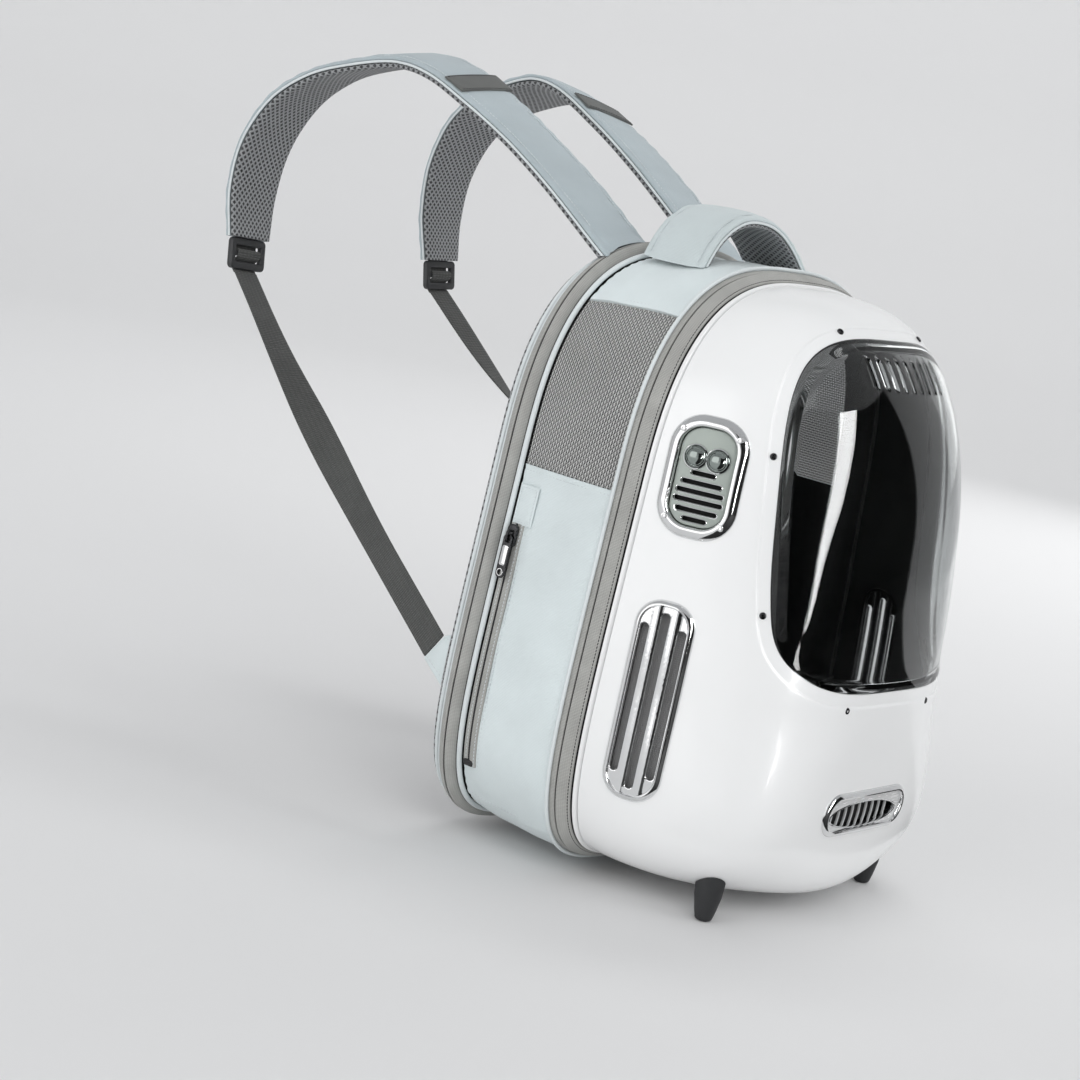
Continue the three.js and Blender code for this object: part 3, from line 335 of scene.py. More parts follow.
class Patch:
    """Flat axes at a spot; place() follows the dome under them."""

    REACH = 30

    def __init__(self, centre, across, up, normal):
        self.centre = np.asarray(centre, float)
        self.across = np.asarray(across, float)
        self.up = np.asarray(up, float)
        self.normal = np.asarray(normal, float)

    @classmethod
    def on_dome(cls, x, z):
        normal = DOME.normal(np.array(float(x)), np.array(float(z)))
        across = unit(np.cross([0, 0, 1], normal))
        return cls([x, float(DOME.y(x, z)), z], across, np.cross(normal, across), normal)

    @classmethod
    def on_flank(cls, y, z):
        """Spot where a line along x first meets the left side of the dome."""
        low, high = -BODY_SIZES["half_width"] - 20.0, 0.0
        for _ in range(40):
            middle = (low + high) / 2
            out = DOME.outside(np.array([middle, y, z]))
            low, high = (middle, high) if out else (low, middle)
        return cls.on_dome(low, z)

    def flat(self, u, v, h):
        u, v, h = (np.asarray(a, float)[..., None] for a in np.broadcast_arrays(u, v, h))
        return self.centre + u * self.across + v * self.up + h * self.normal

    def place(self, u, v, h):
        base = self.flat(u, v, 0)
        low = np.full(base.shape[:-1], -self.REACH, float)
        high = np.full(base.shape[:-1], self.REACH, float)
        for _ in range(20):
            middle = (low + high) / 2
            out = DOME.outside(base + middle[..., None] * self.normal)
            low, high = np.where(out, low, middle), np.where(out, middle, high)
        return base + ((low + high) / 2 + h)[..., None] * self.normal


class Builder:
    """Collects faces, their texture places and material numbers, and makes one object of them."""

    def __init__(self):
        self.points, self.faces, self.places, self.kinds = [], [], [], []
        self.count = 0

    def add(self, points, faces, places=None, kind=0):
        points = np.asarray(points, float).reshape(-1, 3)
        if places is None:
            places = [[tuple(points[i, :2]) for i in face] for face in faces]
        self.points.append(points)
        self.faces += [[i + self.count for i in face] for face in faces]
        self.places += places
        kinds = np.broadcast_to(kind, len(faces))
        self.kinds += kinds.tolist()
        self.count += len(points)

    def grid(self, rows, around=False, ring=False, kind=0, caps=False):
        """Quads over rows of points; around joins each row's ends, ring joins the last row to the first.

        kind is one number, or one for each row of quads.
        """
        rows = np.asarray(rows, float)
        r_count, s_count = rows.shape[:2]
        r, s = np.meshgrid(np.arange(r_count - (not ring)), np.arange(s_count - (not around)), indexing="ij")
        r, s = r.ravel(), s.ravel()
        r_next, s_next = (r + 1) % r_count, (s + 1) % s_count
        faces = np.stack([r * s_count + s, r * s_count + s_next, r_next * s_count + s_next,
                          r_next * s_count + s], 1)
        along = np.linalg.norm(np.roll(rows, -1, 1) - rows, axis=2).mean(0)
        down = np.linalg.norm(np.roll(rows, -1, 0) - rows, axis=2).mean(1)
        u = np.concatenate([[0], np.cumsum(along)])
        v = np.concatenate([[0], np.cumsum(down)])
        places = np.stack([np.stack([u[s], v[r]], 1), np.stack([u[s + 1], v[r]], 1),
                           np.stack([u[s + 1], v[r + 1]], 1), np.stack([u[s], v[r + 1]], 1)], 1)
        kinds = np.broadcast_to(kind, r_count - (not ring))[r] if np.ndim(kind) else kind
        faces, places = faces.tolist(), places.tolist()
        if caps:
            ends = [list(range(s_count))[::-1], list(range((r_count - 1) * s_count, r_count * s_count))]
            flat = rows.reshape(-1, 3)
            faces += ends
            places += [[tuple(flat[i, :2]) for i in end] for end in ends]
            if np.ndim(kinds):
                kinds = np.concatenate([kinds, [kinds[0], kinds[-1]]])
        self.add(rows.reshape(-1, 3), faces, places, kinds)

    def tube(self, rows, kind=0):
        """Closed form from rows of points round it, with flat ends."""
        self.grid(rows, around=True, kind=kind, caps=True)

    def make(self, name, looks, mirrored=False, angle=38):
        """Object in the frame's metres, with a material for each number."""
        points = np.concatenate(self.points)
        if mirrored:
            points = points * [-1, 1, 1]
        mesh = bpy.data.meshes.new(name)
        mesh.from_pydata(((points + FRAME_SHIFT) * MM).tolist(), [], self.faces)
        layer = mesh.uv_layers.new(name="places")
        flat = np.concatenate([np.asarray(p, float).reshape(-1, 2) for p in self.places]) * MM
        layer.data.foreach_set("uv", flat.ravel())
        mesh.polygons.foreach_set("material_index", self.kinds)
        for look in looks:
            mesh.materials.append(look)
        obj = bpy.data.objects.new(name, mesh)
        SCENE.collection.objects.link(obj)
        tidy_mesh(mesh, angle)
        return obj


def tidy_mesh(mesh, angle=38):
    """Turns the faces outward and smooths all edges but the sharp ones."""
    bm = bmesh.new()
    bm.from_mesh(mesh)
    bmesh.ops.recalc_face_normals(bm, faces=bm.faces)
    bm.to_mesh(mesh)
    bm.free()
    mesh.shade_smooth()
    mesh.set_sharp_from_angle(angle=math.radians(angle))
    mesh.update()


def carve(obj, cutters, angle=38):
    """Cuts the cutters out of obj for good and drops them."""
    for cutter in cutters:
        step = obj.modifiers.new("carve", "BOOLEAN")
        step.object = cutter
        step.operation = "DIFFERENCE"
        step.solver = "EXACT"
    settle(obj)
    for cutter in cutters:
        bpy.data.objects.remove(cutter)
    tidy_mesh(obj.data, angle)


def settle(obj):
    """Makes what the modifiers give the object's own mesh."""
    graph = bpy.context.evaluated_depsgraph_get()
    mesh = bpy.data.meshes.new_from_object(obj.evaluated_get(graph))
    obj.modifiers.clear()
    old = obj.data
    obj.data = mesh
    bpy.data.meshes.remove(old)


def piece(obj, nodes, body="carrier"):
    """Hangs a finished piece on its body and lets it stand for CAD nodes."""
    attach(obj, body)
    if nodes:
        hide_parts(*nodes)
    return obj


def finished(builder, name, looks, slot, nodes=None, body="carrier", mirrored=False, cut=None):
    """Makes a piece with named looks and hangs it on its body.

    It stands for the CAD node of its own name unless nodes says otherwise. cut is a ring volume taken off it.
    """
    obj = builder.make(name, [LOOKS[look] for look in looks], mirrored)
    if cut:
        carve(obj, [ring_volume(cut)])
    return piece(obj, [name] if nodes is None else nodes, body)


def lofted(rows, name, looks, slot, **options):
    """Piece of one closed form, from rows of points round it."""
    builder = Builder()
    builder.tube(rows)
    return finished(builder, name, looks, slot, **options)


def contour(half_w, half_h, radius, centre=(0, 0), step=3.0, per_corner=10):
    """Points round a rounded rectangle, anticlockwise, and the outward directions at them."""
    corner = np.array([half_w - radius, half_h - radius])
    points, outward = [], []
    for quarter in range(4):
        side = np.array([(1, 1), (-1, 1), (-1, -1), (1, -1)][quarter])
        turn = (quarter + np.arange(per_corner + 1) / per_corner) * np.pi / 2
        way = np.stack([np.cos(turn), np.sin(turn)], 1)
        arc = corner * side + radius * way
        after = np.array([(-1, 1), (-1, -1), (1, -1), (1, 1)][quarter])
        straight = corner * after + radius * way[-1] - arc[-1]
        count = int(np.hypot(*straight) // step)
        fill = [arc[-1] + straight * (i + 1) / (count + 1) for i in range(count)]
        points += list(arc) + fill
        outward += list(way) + [way[-1]] * len(fill)
    points, outward = np.array(points), np.array(outward)
    keep = np.linalg.norm(np.roll(points, 1, 0) - points, axis=1) > 1e-6
    return points[keep] + centre, outward[keep]


def circle(radius, centre, sides=10):
    return contour(radius, radius, radius - 0.01, centre, per_corner=sides)[0]


def oval(half_w, half_h, centre, sides=96):
    """Ellipse as points and outward directions, like a contour."""
    t = np.arange(sides) * 2 * np.pi / sides
    shape = np.stack([np.cos(t), np.sin(t)], 1)
    return shape * [half_w, half_h] + centre, unit(shape * [half_h, half_w])


def slot_loop(half_w, half_h, centre, per_corner=6):
    return contour(half_w, half_h, min(half_w, half_h) - 0.01, centre, per_corner=per_corner)[0]


def grown(sizes, grow):
    """Loop round a rounded rectangle, moved outward by grow."""
    points, outward = contour(**sizes)
    return points + outward * grow


def sweep(builder, shape, section, to_space, kind=0):
    """Carries a section of (grow, h) pairs round a contour as a closed ring."""
    points, outward = shape
    section = np.asarray(section, float)
    u = points[:, None, 0] + outward[:, None, 0] * section[None, :, 0]
    v = points[:, None, 1] + outward[:, None, 1] * section[None, :, 0]
    h = np.broadcast_to(section[None, :, 1], u.shape)
    builder.grid(to_space(u, v, h), around=True, ring=True, kind=kind)


def turned(builder, profile, to_space, centre=(0, 0), sides=40, kind=0):
    """Turns a profile of (radius, h) pairs about the normal; a radius of 0 at either end closes it."""
    profile = np.asarray(profile, float)
    angle = turns(sides)
    radius = np.maximum(profile[:, :1], 0.02)
    u = centre[0] + radius * np.cos(angle)
    v = centre[1] + radius * np.sin(angle)
    h = np.broadcast_to(profile[:, 1:], u.shape)
    builder.tube(to_space(u, v, h), kind)


def plate(builder, loops, low, high, to_space, bevel=0.5, cell=0.0, crown=None, kind=0):
    """Flat plate inside the first loop with the other loops as holes, its edges rounded by bevel."""
    curve = bpy.data.curves.new("plate", "CURVE")
    curve.dimensions = "2D"
    curve.fill_mode = "BOTH"
    for loop in loops:
        spline = curve.splines.new("POLY")
        spline.points.add(len(loop) - 1)
        corners = np.column_stack([loop, np.zeros(len(loop)), np.ones(len(loop))])
        spline.points.foreach_set("co", corners.ravel())
        spline.use_cyclic_u = True
    curve.extrude = (high - low) / 2 - bevel
    curve.bevel_depth = bevel
    curve.bevel_resolution = 2
    curve.offset = -bevel
    holder = bpy.data.objects.new("plate", curve)
    SCENE.collection.objects.link(holder)
    graph = bpy.context.evaluated_depsgraph_get()
    mesh = bpy.data.meshes.new_from_object(holder.evaluated_get(graph))
    bm = bmesh.new()
    bm.from_mesh(mesh)
    bmesh.ops.remove_doubles(bm, verts=bm.verts, dist=1e-3)
    if cell:
        reach = np.abs(np.asarray(loops[0])).max(0)
        for axis in range(2):
            for spot in np.arange(-reach[axis] + cell / 2, reach[axis], cell):
                at, way = Vector((0, 0, 0)), Vector((0, 0, 0))
                at[axis], way[axis] = spot, 1
                everything = bm.verts[:] + bm.edges[:] + bm.faces[:]
                bmesh.ops.bisect_plane(bm, geom=everything, dist=1e-4, plane_co=at, plane_no=way)
    bm.verts.index_update()
    points = np.array([v.co[:] for v in bm.verts])
    faces = [[v.index for v in f.verts] for f in bm.faces]
    bm.free()
    bpy.data.objects.remove(holder)
    bpy.data.meshes.remove(mesh)
    u, v, h = points[:, 0], points[:, 1], points[:, 2] + (low + high) / 2
    if crown:
        h = h + crown(u, v)
    flat = points[:, :2]
    builder.add(to_space(u, v, h), faces, [[tuple(flat[i]) for i in f] for f in faces], kind)


# Materials


class Look:
    """A node material with short ways to add textures to its shader."""

    def __init__(self, name, color, roughness, metallic=0.0, **sockets):
        self.name = name
        self.material = bpy.data.materials.new(name)
        self.material.use_nodes = True
        self.tree = self.material.node_tree
        self.shader = self.tree.nodes["Principled BSDF"]
        self.set(**{"Base Color": (*color, 1), "Roughness": roughness, "Metallic": metallic}, **sockets)
        self.height = None

    def set(self, **sockets):
        for key, value in sockets.items():
            self.shader.inputs[key.replace("_", " ")].default_value = value

    def node(self, kind, **inputs):
        made = self.tree.nodes.new("ShaderNode" + kind)
        for key, value in inputs.items():
            socket = made.inputs[int(key[1:]) if key[0] == "i" and key[1:].isdigit() else key]
            if isinstance(value, bpy.types.NodeSocket):
                self.tree.links.new(value, socket)
            else:
                socket.default_value = value
        return made

    def math(self, operation, a, b=0.0):
        made = self.node("Math", i0=a, i1=b)
        made.operation = operation
        return made.outputs[0]

    def coords(self, kind, scale=(1, 1, 1), turn=0.0):
        source = self.node("TexCoord").outputs[kind]
        return self.node("Mapping", Vector=source, Scale=scale, Rotation=(0, 0, turn)).outputs[0]

    def noise(self, scale, detail=3.0, stretch=(1, 1, 1)):
        place = self.coords("Object", stretch)
        return self.node("TexNoise", Vector=place, Scale=scale, Detail=detail).outputs["Fac"]

    def wave(self, pitch, direction, turn=0.0, waver=0.0):
        """Ridges every pitch metres."""
        place = self.coords("UV", turn=turn)
        made = self.node("TexWave", Vector=place, Scale=math.pi / 10 / pitch, Distortion=waver)
        made.bands_direction = direction
        return made.outputs["Fac"]

    def ranged(self, value, low, high, to_low=0.0, to_high=1.0):
        limits = {"From Min": low, "From Max": high, "To Min": to_low, "To Max": to_high}
        return self.node("MapRange", Value=value, **limits).outputs[0]

    def tint(self, factor, dark, light):
        """Base colour between two colours."""
        made = self.node("Mix", i0=factor, i6=(*dark, 1), i7=(*light, 1))
        made.data_type = "RGBA"
        self.tree.links.new(made.outputs[2], self.shader.inputs["Base Color"])

    def rough(self, factor, low, high):
        self.tree.links.new(self.ranged(factor, 0.3, 0.7, low, high), self.shader.inputs["Roughness"])

    def bump(self, height, distance, strength=1.0):
        """Adds relief; distance is its depth in metres."""
        made = self.node("Bump", Height=height, Distance=distance, Strength=strength)
        if self.height:
            self.tree.links.new(self.height, made.inputs["Normal"])
        self.height = made.outputs[0]
        self.tree.links.new(self.height, self.shader.inputs["Normal"])


def shade(color, factor):
    """Colour made lighter or darker by a factor."""
    return tuple(min(c * factor, 1) for c in color)


def woven(name, color, pitch, relief, roughness, spread=0.07):
    """Plain-weave cloth with soft soiling and a fibrous surface."""
    look = Look(name, color, roughness, Sheen_Weight=0.25, Sheen_Roughness=0.5)
    warp, weft = look.wave(pitch, "X", waver=0.6), look.wave(pitch, "Y", waver=0.6)
    weave = look.math("MULTIPLY", warp, weft)
    soil = look.noise(14, 6)
    mixed = look.math("ADD", look.math("MULTIPLY", weave, 0.35), soil)
    look.tint(look.ranged(mixed, 0.35, 0.85), shade(color, 1 - spread * 1.4), shade(color, 1 + spread))
    look.rough(look.noise(160, 2), roughness - 0.08, min(roughness + 0.06, 1))
    look.bump(look.noise(38, 4), 0.0006, 0.5)
    look.bump(weave, relief)
    return look


def shell_look():
    look = Look("shell", (0.88, 0.885, 0.885), 0.24, Coat_Weight=0.3, Coat_Roughness=0.08)
    look.tint(look.noise(6, 3), (0.87, 0.876, 0.878), (0.89, 0.895, 0.894))
    look.rough(look.noise(8, 3), 0.2, 0.27)
    look.bump(look.noise(700, 2), 0.00002, 0.5)
    return look


def smoked_look():
    look = Look("smoked", (0.64, 0.66, 0.66), 0.02, Transmission_Weight=1.0, IOR=1.46)
    look.rough(look.noise(40, 4), 0.012, 0.04)
    look.bump(look.noise(12, 1), 0.0003, 0.25)
    return look


def metal_look(name, color, low, high, grain=600, stretch=(1, 1, 1), metallic=1.0):
    look = Look(name, color, low, metallic)
    look.tint(look.noise(60, 4), shade(color, 0.86), color)
    look.rough(look.noise(grain, 3, stretch=stretch), low, high)
    look.bump(look.noise(90, 2), 0.00008, 0.5)
    return look


def moulded_look(name, color, roughness):
    """Plastic or rubber with a fine mould grain."""
    look = Look(name, color, roughness)
    look.tint(look.noise(30, 4), shade(color, 0.8), shade(color, 1.15))
    look.rough(look.noise(70, 4), roughness - 0.08, roughness + 0.1)
    look.bump(look.noise(1400, 2), 0.00006)
    return look


def ribbed_look(name, color, rib, cross, relief):
    """Woven band or tape with ribs across it."""
    look = Look(name, color, 0.85, Sheen_Weight=0.15)
    ribs, warp = look.wave(rib, "Y", waver=0.4), look.wave(cross, "X", waver=0.4)
    body = look.math("MULTIPLY", ribs, look.ranged(warp, 0, 1, 0.55, 1))
    mixed = look.math("ADD", look.math("MULTIPLY", body, 0.6), look.math("MULTIPLY", look.noise(45, 5), 0.6))
    look.tint(look.ranged(mixed, 0.2, 0.9), shade(color, 0.66), shade(color, 1.18))
    look.bump(body, relief)
    return look


def air_mesh_look(name, thread, hole, pitch=0.0042):
    """Spacer mesh: a net of diamonds over a darker ground."""
    look = Look(name, thread, 0.9, Sheen_Weight=0.2)
    one = look.wave(pitch, "X", turn=math.pi / 4, waver=0.5)
    two = look.wave(pitch, "Y", turn=math.pi / 4, waver=0.5)
    net = look.ranged(look.math("MAXIMUM", one, two), 0.45, 0.85)
    grain = look.math("ADD", look.math("MULTIPLY", net, 0.8), look.math("MULTIPLY", look.noise(300, 2), 0.25))
    look.tint(look.ranged(grain, 0.1, 0.95), hole, thread)
    look.bump(net, 0.0011)
    look.bump(look.noise(1200, 2), 0.00015)
    return look


ALL_LOOKS = [
    shell_look(),
    smoked_look(),
    metal_look("chrome", (0.88, 0.885, 0.89), 0.05, 0.13),
    metal_look("plate", (0.36, 0.40, 0.37), 0.3, 0.42, 1500, (1, 1, 0.05), 0.3),
    metal_look("gunmetal", (0.36, 0.40, 0.38), 0.06, 0.14),
    metal_look("satin", (0.86, 0.86, 0.86), 0.2, 0.3, 900, (0.1, 1, 1), 0.2),
    metal_look("steel", (0.07, 0.07, 0.073), 0.2, 0.34),
    moulded_look("rubber", (0.022, 0.023, 0.025), 0.6),
    moulded_look("plastic", (0.035, 0.036, 0.038), 0.45),
    moulded_look("fin", (0.55, 0.56, 0.56), 0.4),
    woven("cloth", (0.74, 0.815, 0.825), 0.0011, 0.00022, 0.85),
    # The side cloth made about a sixth darker for the handle: painted shade on its upward faces
    woven("shaded_handle_cloth", (0.62, 0.69, 0.70), 0.0011, 0.00022, 0.85),
    woven("strap_cloth", (0.45, 0.52, 0.55), 0.0011, 0.00022, 0.85),
    woven("lining", (0.006, 0.006, 0.0065), 0.001, 0.0002, 0.9),
    woven("filter", (0.27, 0.27, 0.27), 0.0016, 0.0003, 0.8),
    woven("mesh", (0.58, 0.58, 0.57), 0.0008, 0.0001, 0.85),
    woven("mesh_weft", (0.24, 0.24, 0.235), 0.0008, 0.0001, 0.85),
    ribbed_look("tape", (0.42, 0.42, 0.40), 0.0011, 0.0016, 0.00018),
    moulded_look("coil", (0.016, 0.016, 0.017), 0.5),
    woven("piping", (0.74, 0.79, 0.80), 0.0008, 0.00012, 0.75, 0.05),
    ribbed_look("webbing", (0.075, 0.077, 0.074), 0.0019, 0.0042, 0.0005),
    ribbed_look("band", (0.12, 0.125, 0.12), 0.0016, 0.003, 0.0004),
    air_mesh_look("air_mesh", (0.34, 0.35, 0.36), (0.035, 0.036, 0.038)),
    woven("thread", (0.66, 0.71, 0.73), 0.0006, 0.0001, 0.8),
    # Near-black: painted shade on the plates behind the module's slots and the front vent's fins, and the
    # black studio card
    Look("void", (0.006, 0.006, 0.006), 0.9),
]
LOOKS = {look.name: look.material for look in ALL_LOOKS}


# Shell and window


def shell():
    """Dome with a lip at the rim and a sunk land round the window, its inside lined."""
    share = shares(SHELL_STATIONS)
    rim_x, rim_z = BODY.at(share, -RIM_INSET)
    angle = np.arctan2(rim_z - POLE_HEIGHT, rim_x)
    spread = FlatDome()
    rim = np.interp(angle, spread.turn, spread.length)[:, None] * np.stack([np.cos(angle), np.sin(angle)], 1)
    edge = spread.from_front(*WINDOW.at(shares(WINDOW_EDGE_POINTS)))
    middle = edge.mean(0)
    edge_turn = np.arctan2(*(edge - middle).T[::-1])
    rim_turn = np.arctan2(*(rim - middle).T[::-1])
    edge_reach = np.linalg.norm(edge - middle, axis=1)
    reach = np.interp(rim_turn, *sorted_pair(edge_turn, edge_reach), period=2 * np.pi)
    start = middle + reach[:, None] * unit(rim - middle)
    curves = spread.to_dome(start + (rim - start) * np.linspace(0, 1, CURVE_POINTS)[:, None, None])
    near = np.array(LAND_ROWS)
    rows = np.zeros((len(near) + SHELL_ROWS, len(angle), 3))
    gone = np.zeros(rows.shape[:2])
    for i in range(len(angle)):
        run = run_along(curves[:, i])
        spots = np.concatenate([near, np.linspace(near[-1], run[-1], SHELL_ROWS + 1)[1:]])
        gone[:, i] = spots
        rows[:, i] = points_at(spots, run, curves[:, i])
    edge = spread.to_dome(edge)
    for i in range(EDGE_ROWS, len(near)):
        gone[i] = np.linalg.norm(rows[i][:, None] - edge[None], axis=2).min(1)
    along = np.roll(rows, -1, 1) - np.roll(rows, 1, 1)
    down = np.gradient(rows, axis=0)
    normal = unit(np.cross(along, down))
    outward = rows - SHELL_INSIDE
    normal *= np.sign((normal * outward).sum(-1, keepdims=True))
    sunk = LAND["depth"] * (1 - smooth(gone, LAND["width"], LAND["width"] + LAND["blend"]))
    edge_round = np.where(gone < EDGE_RADIUS, EDGE_RADIUS * (1 - gone / EDGE_RADIUS) ** 2, 0)
    outer = rows - normal * (sunk + edge_round)[..., None]
    inner = (rows - normal * SHELL_WALL)[::INNER_STEP]
    lip = np.stack([on_body(share, y, -inset) for y, inset in RIM_LIP])
    inner = np.concatenate([inner, on_body(share, RIM_LIP[-1][0] - 1.5, -RIM_LIP[-1][1])[None]])
    loop = np.concatenate([outer, lip, inner[::-1]])
    spot = np.arange(len(loop))
    kinds = np.where((spot < len(outer) + len(lip) - 1) | (spot > len(loop) - BARE_ROWS), 0, 1)
    build = Builder()
    build.grid(loop, around=True, ring=True, kind=kinds)
    obj = build.make("front_shell", [LOOKS["shell"], LOOKS["lining"]])
    cutters = [
        hole_cutter(MODULE_PATCH, MODULE),
        hole_cutter(FLANK_PATCH, FLANK_VENT),
        hole_cutter(FLANK_PATCH, FLANK_VENT, mirrored=True),
        hole_cutter(FRONT_PATCH, FRONT_VENT),
    ]
    carve(obj, cutters)
    return piece(obj, ["front_shell"])


def hole_cutter(patch, sizes, mirrored=False):
    """Prism through the wall, a little inside a fitting's outline."""
    points = grown(sizes, -HOLE["inset"])
    build = Builder()
    rows = [patch.flat(points[:, 0], points[:, 1], h) for h in (HOLE["low"], HOLE["high"])]
    build.tube(rows)
    return build.make("cutter", [LOOKS["lining"]], mirrored)


def pane():
    """Bulged smoked pane with air slots, its flange behind the shell's wall."""
    share = shares(PANE["stations"])
    edge_x, edge_z = WINDOW.at(share, -PANE["gap"])
    centre = (WINDOW_SIZES["top"] + WINDOW_SIZES["bottom"]) / 2

    def terms(x, z):
        u, v = x / WINDOW_SIZES["half_width"], (z - centre) / WINDOW_SIZES["half_width"]
        even_terms = [np.ones_like(u), v, v**2, v**3, v**4, u**2, u**2 * v, u**2 * v**2, u**4]
        return np.stack(even_terms, -1)

    fit_shares = np.sqrt(np.linspace(0.001, 1, 40))[:, None]
    fit_x, fit_z = edge_x * fit_shares, centre + (edge_z - centre) * fit_shares
    fit = terms(fit_x, fit_z)
    even = np.linalg.lstsq(fit.reshape(-1, fit.shape[-1]), DOME.y(fit_x, fit_z).ravel(), rcond=None)[0]

    def sheet(s, drop):
        """One ring of the pane: evenly curved inside, on the dome at its edge."""
        x, z = edge_x * s, centre + (edge_z - centre) * s
        lean = np.abs(DOME.normal(x, z)[..., 1])
        hug = s ** PANE["hug"]
        y = terms(x, z) @ even * (1 - hug) + DOME.y(x, z) * hug
        return np.stack([x, y - PANE["bulge"] * (1 - s ** PANE["power"]) + drop / lean, z], -1)

    def rim(reach, drop):
        x, z = WINDOW.at(share, reach)
        return np.stack([x, DOME.y(x, z) + drop / np.abs(DOME.normal(x, z)[..., 1]), z], -1)

    rings = np.concatenate([np.linspace(0.02, 0.96, PANE["rings"]), [0.98, 0.993, 1.0]])
    outer = [sheet(s, 0.0) for s in rings[:-1]] + [sheet(1.0, 0.35)]
    side, reach = -PANE["gap"], PANE["flange"]
    seat, low = PANE["seat"], PANE["seat"] + PANE["flange_wall"]
    flange = [rim(side, 1.2), rim(side, seat), rim(reach, seat), rim(reach, low)]
    flange.append(rim(side - PANE["wall"], low))
    inner = [sheet(s, PANE["wall"]) for s in rings[:-4]]
    build = Builder()
    build.tube(outer + flange + inner[::-1])
    obj = build.make("window", [LOOKS["smoked"]], angle=50)
    cutter = Builder()
    half_w, half_h = PANE_SLOTS["width"] / 2, PANE_SLOTS["height"] / 2
    for i in range(PANE_SLOTS["count"]):
        x = PANE_SLOTS["spread"] * (i / (PANE_SLOTS["count"] - 1) - 0.5)
        slot = contour(half_w, half_h, half_w - 0.02, (x, PANE_SLOTS["z"]), per_corner=5)[0]
        rows = [np.insert(slot, 1, y, axis=1) for y in (PANE_SLOTS["front"], PANE_SLOTS["rear"])]
        cutter.tube(rows)
    carve(obj, [cutter.make("cutter", [LOOKS["smoked"]])], 50)
    return piece(obj, ["window"])


MODULE_PATCH = Patch.on_flank(**MODULE_SPOT)
FLANK_PATCH = Patch.on_flank(**FLANK_SPOT)
FRONT_PATCH = Patch.on_dome(0.0, FRONT_SPOT_Z)

shell()
pane()


# Fittings on the shell


def raised(section, by):
    """Section or profile of (place, height) pairs, moved up."""
    return [(place, by + height) for place, height in section]


SCREW_PROFILE = [(0, 0), (1, 0), (1, 0.45), (0.86, 0.85), (0.6, 1), (0.42, 1), (0.36, 0.45), (0, 0.4)]
MODULE_BEZEL = [(0, 0.1), (-0.3, 0.9), (-1.2, 1.9), (-2.6, 2.9), (-4.2, 3.6), (-5.8, 3.95), (-7.2, 3.9),
                (-8.2, 3.3), (-8.7, 2.2), (-8.9, 0.4), (-9, -3.6), (-2.7, -3.6), (-2.7, 0.1)]
BUTTON_PROFILE = [(0, -2.6), (6.6, -2.6), (7.5, -2), (7.6, 0.6), (7.45, 1.5), (6.9, 2.2), (6.3, 2.5),
                  (5.9, 2.3), (5.5, 2.6), (4.6, 3.3), (3.2, 3.9), (1.6, 4.2), (0, 4.3)]
SLOT_LIP = [(0.1, -0.6), (0.2, 0.15), (0.5, 0.35), (0.8, 0.15), (0.9, -0.6)]
BUTTON_RING = [(0.3, -0.3), (0.4, 0.7), (0.9, 1.1), (1.5, 0.8), (1.7, -0.3)]
FLANK_RIM = [(0, 0.1), (-0.3, 1.0), (-1.0, 2.1), (-2.0, 3.1), (-3.1, 3.75), (-4.0, 3.9), (-4.5, 3.3),
             (-4.7, 2.2), (-4.7, -3.6), (-2.7, -3.6), (-2.7, 0.1)]
FLANK_BAR = dict(middle=7.2, half=4.1, crown=1.3)
# Slots of a flank vent: place of the middle and half of the length
FLANK_SLOTS = [(-14.3, 55), (0, 65), (14.3, 55)]
FLANK_SLOT_HALF = 3.0
FRONT_RIM = [(0, 0.1), (-0.3, 1.0), (-1.0, 1.9), (-2.1, 2.6), (-3.3, 3.0), (-4.3, 2.6), (-4.7, 1.4),
             (-4.8, -3.6), (-2.7, -3.6), (-2.7, 0.1)]
MOUTH_LIP = [(1.0, -0.9), (0.8, -0.2), (0.3, 0.1), (-0.2, -0.2), (-0.4, -1.0), (-0.4, -4), (1.0, -4)]
FIN_SECTION = np.array([(-0.8, -5.6), (0.8, -5.6), (0.8, -4.4), (0.4, -4.0), (-0.4, -4.0), (-0.8, -4.4)])
FOOT_PROFILE = [(2.6, -11), (4.6, -10.8), (5.9, -10.1), (6.5, -9.2), (7.2, -6.5), (8.0, -3.5), (8.7, 0),
                (9.5, 4), (10.3, 8)]
FOOT_SIDES = 40


def screw_head(builder, patch, radius, height, base):
    """Low round head with a sunk middle."""
    profile = [(r * radius, base + h * height) for r, h in SCREW_PROFILE]
    turned(builder, profile, patch.flat, sides=24)


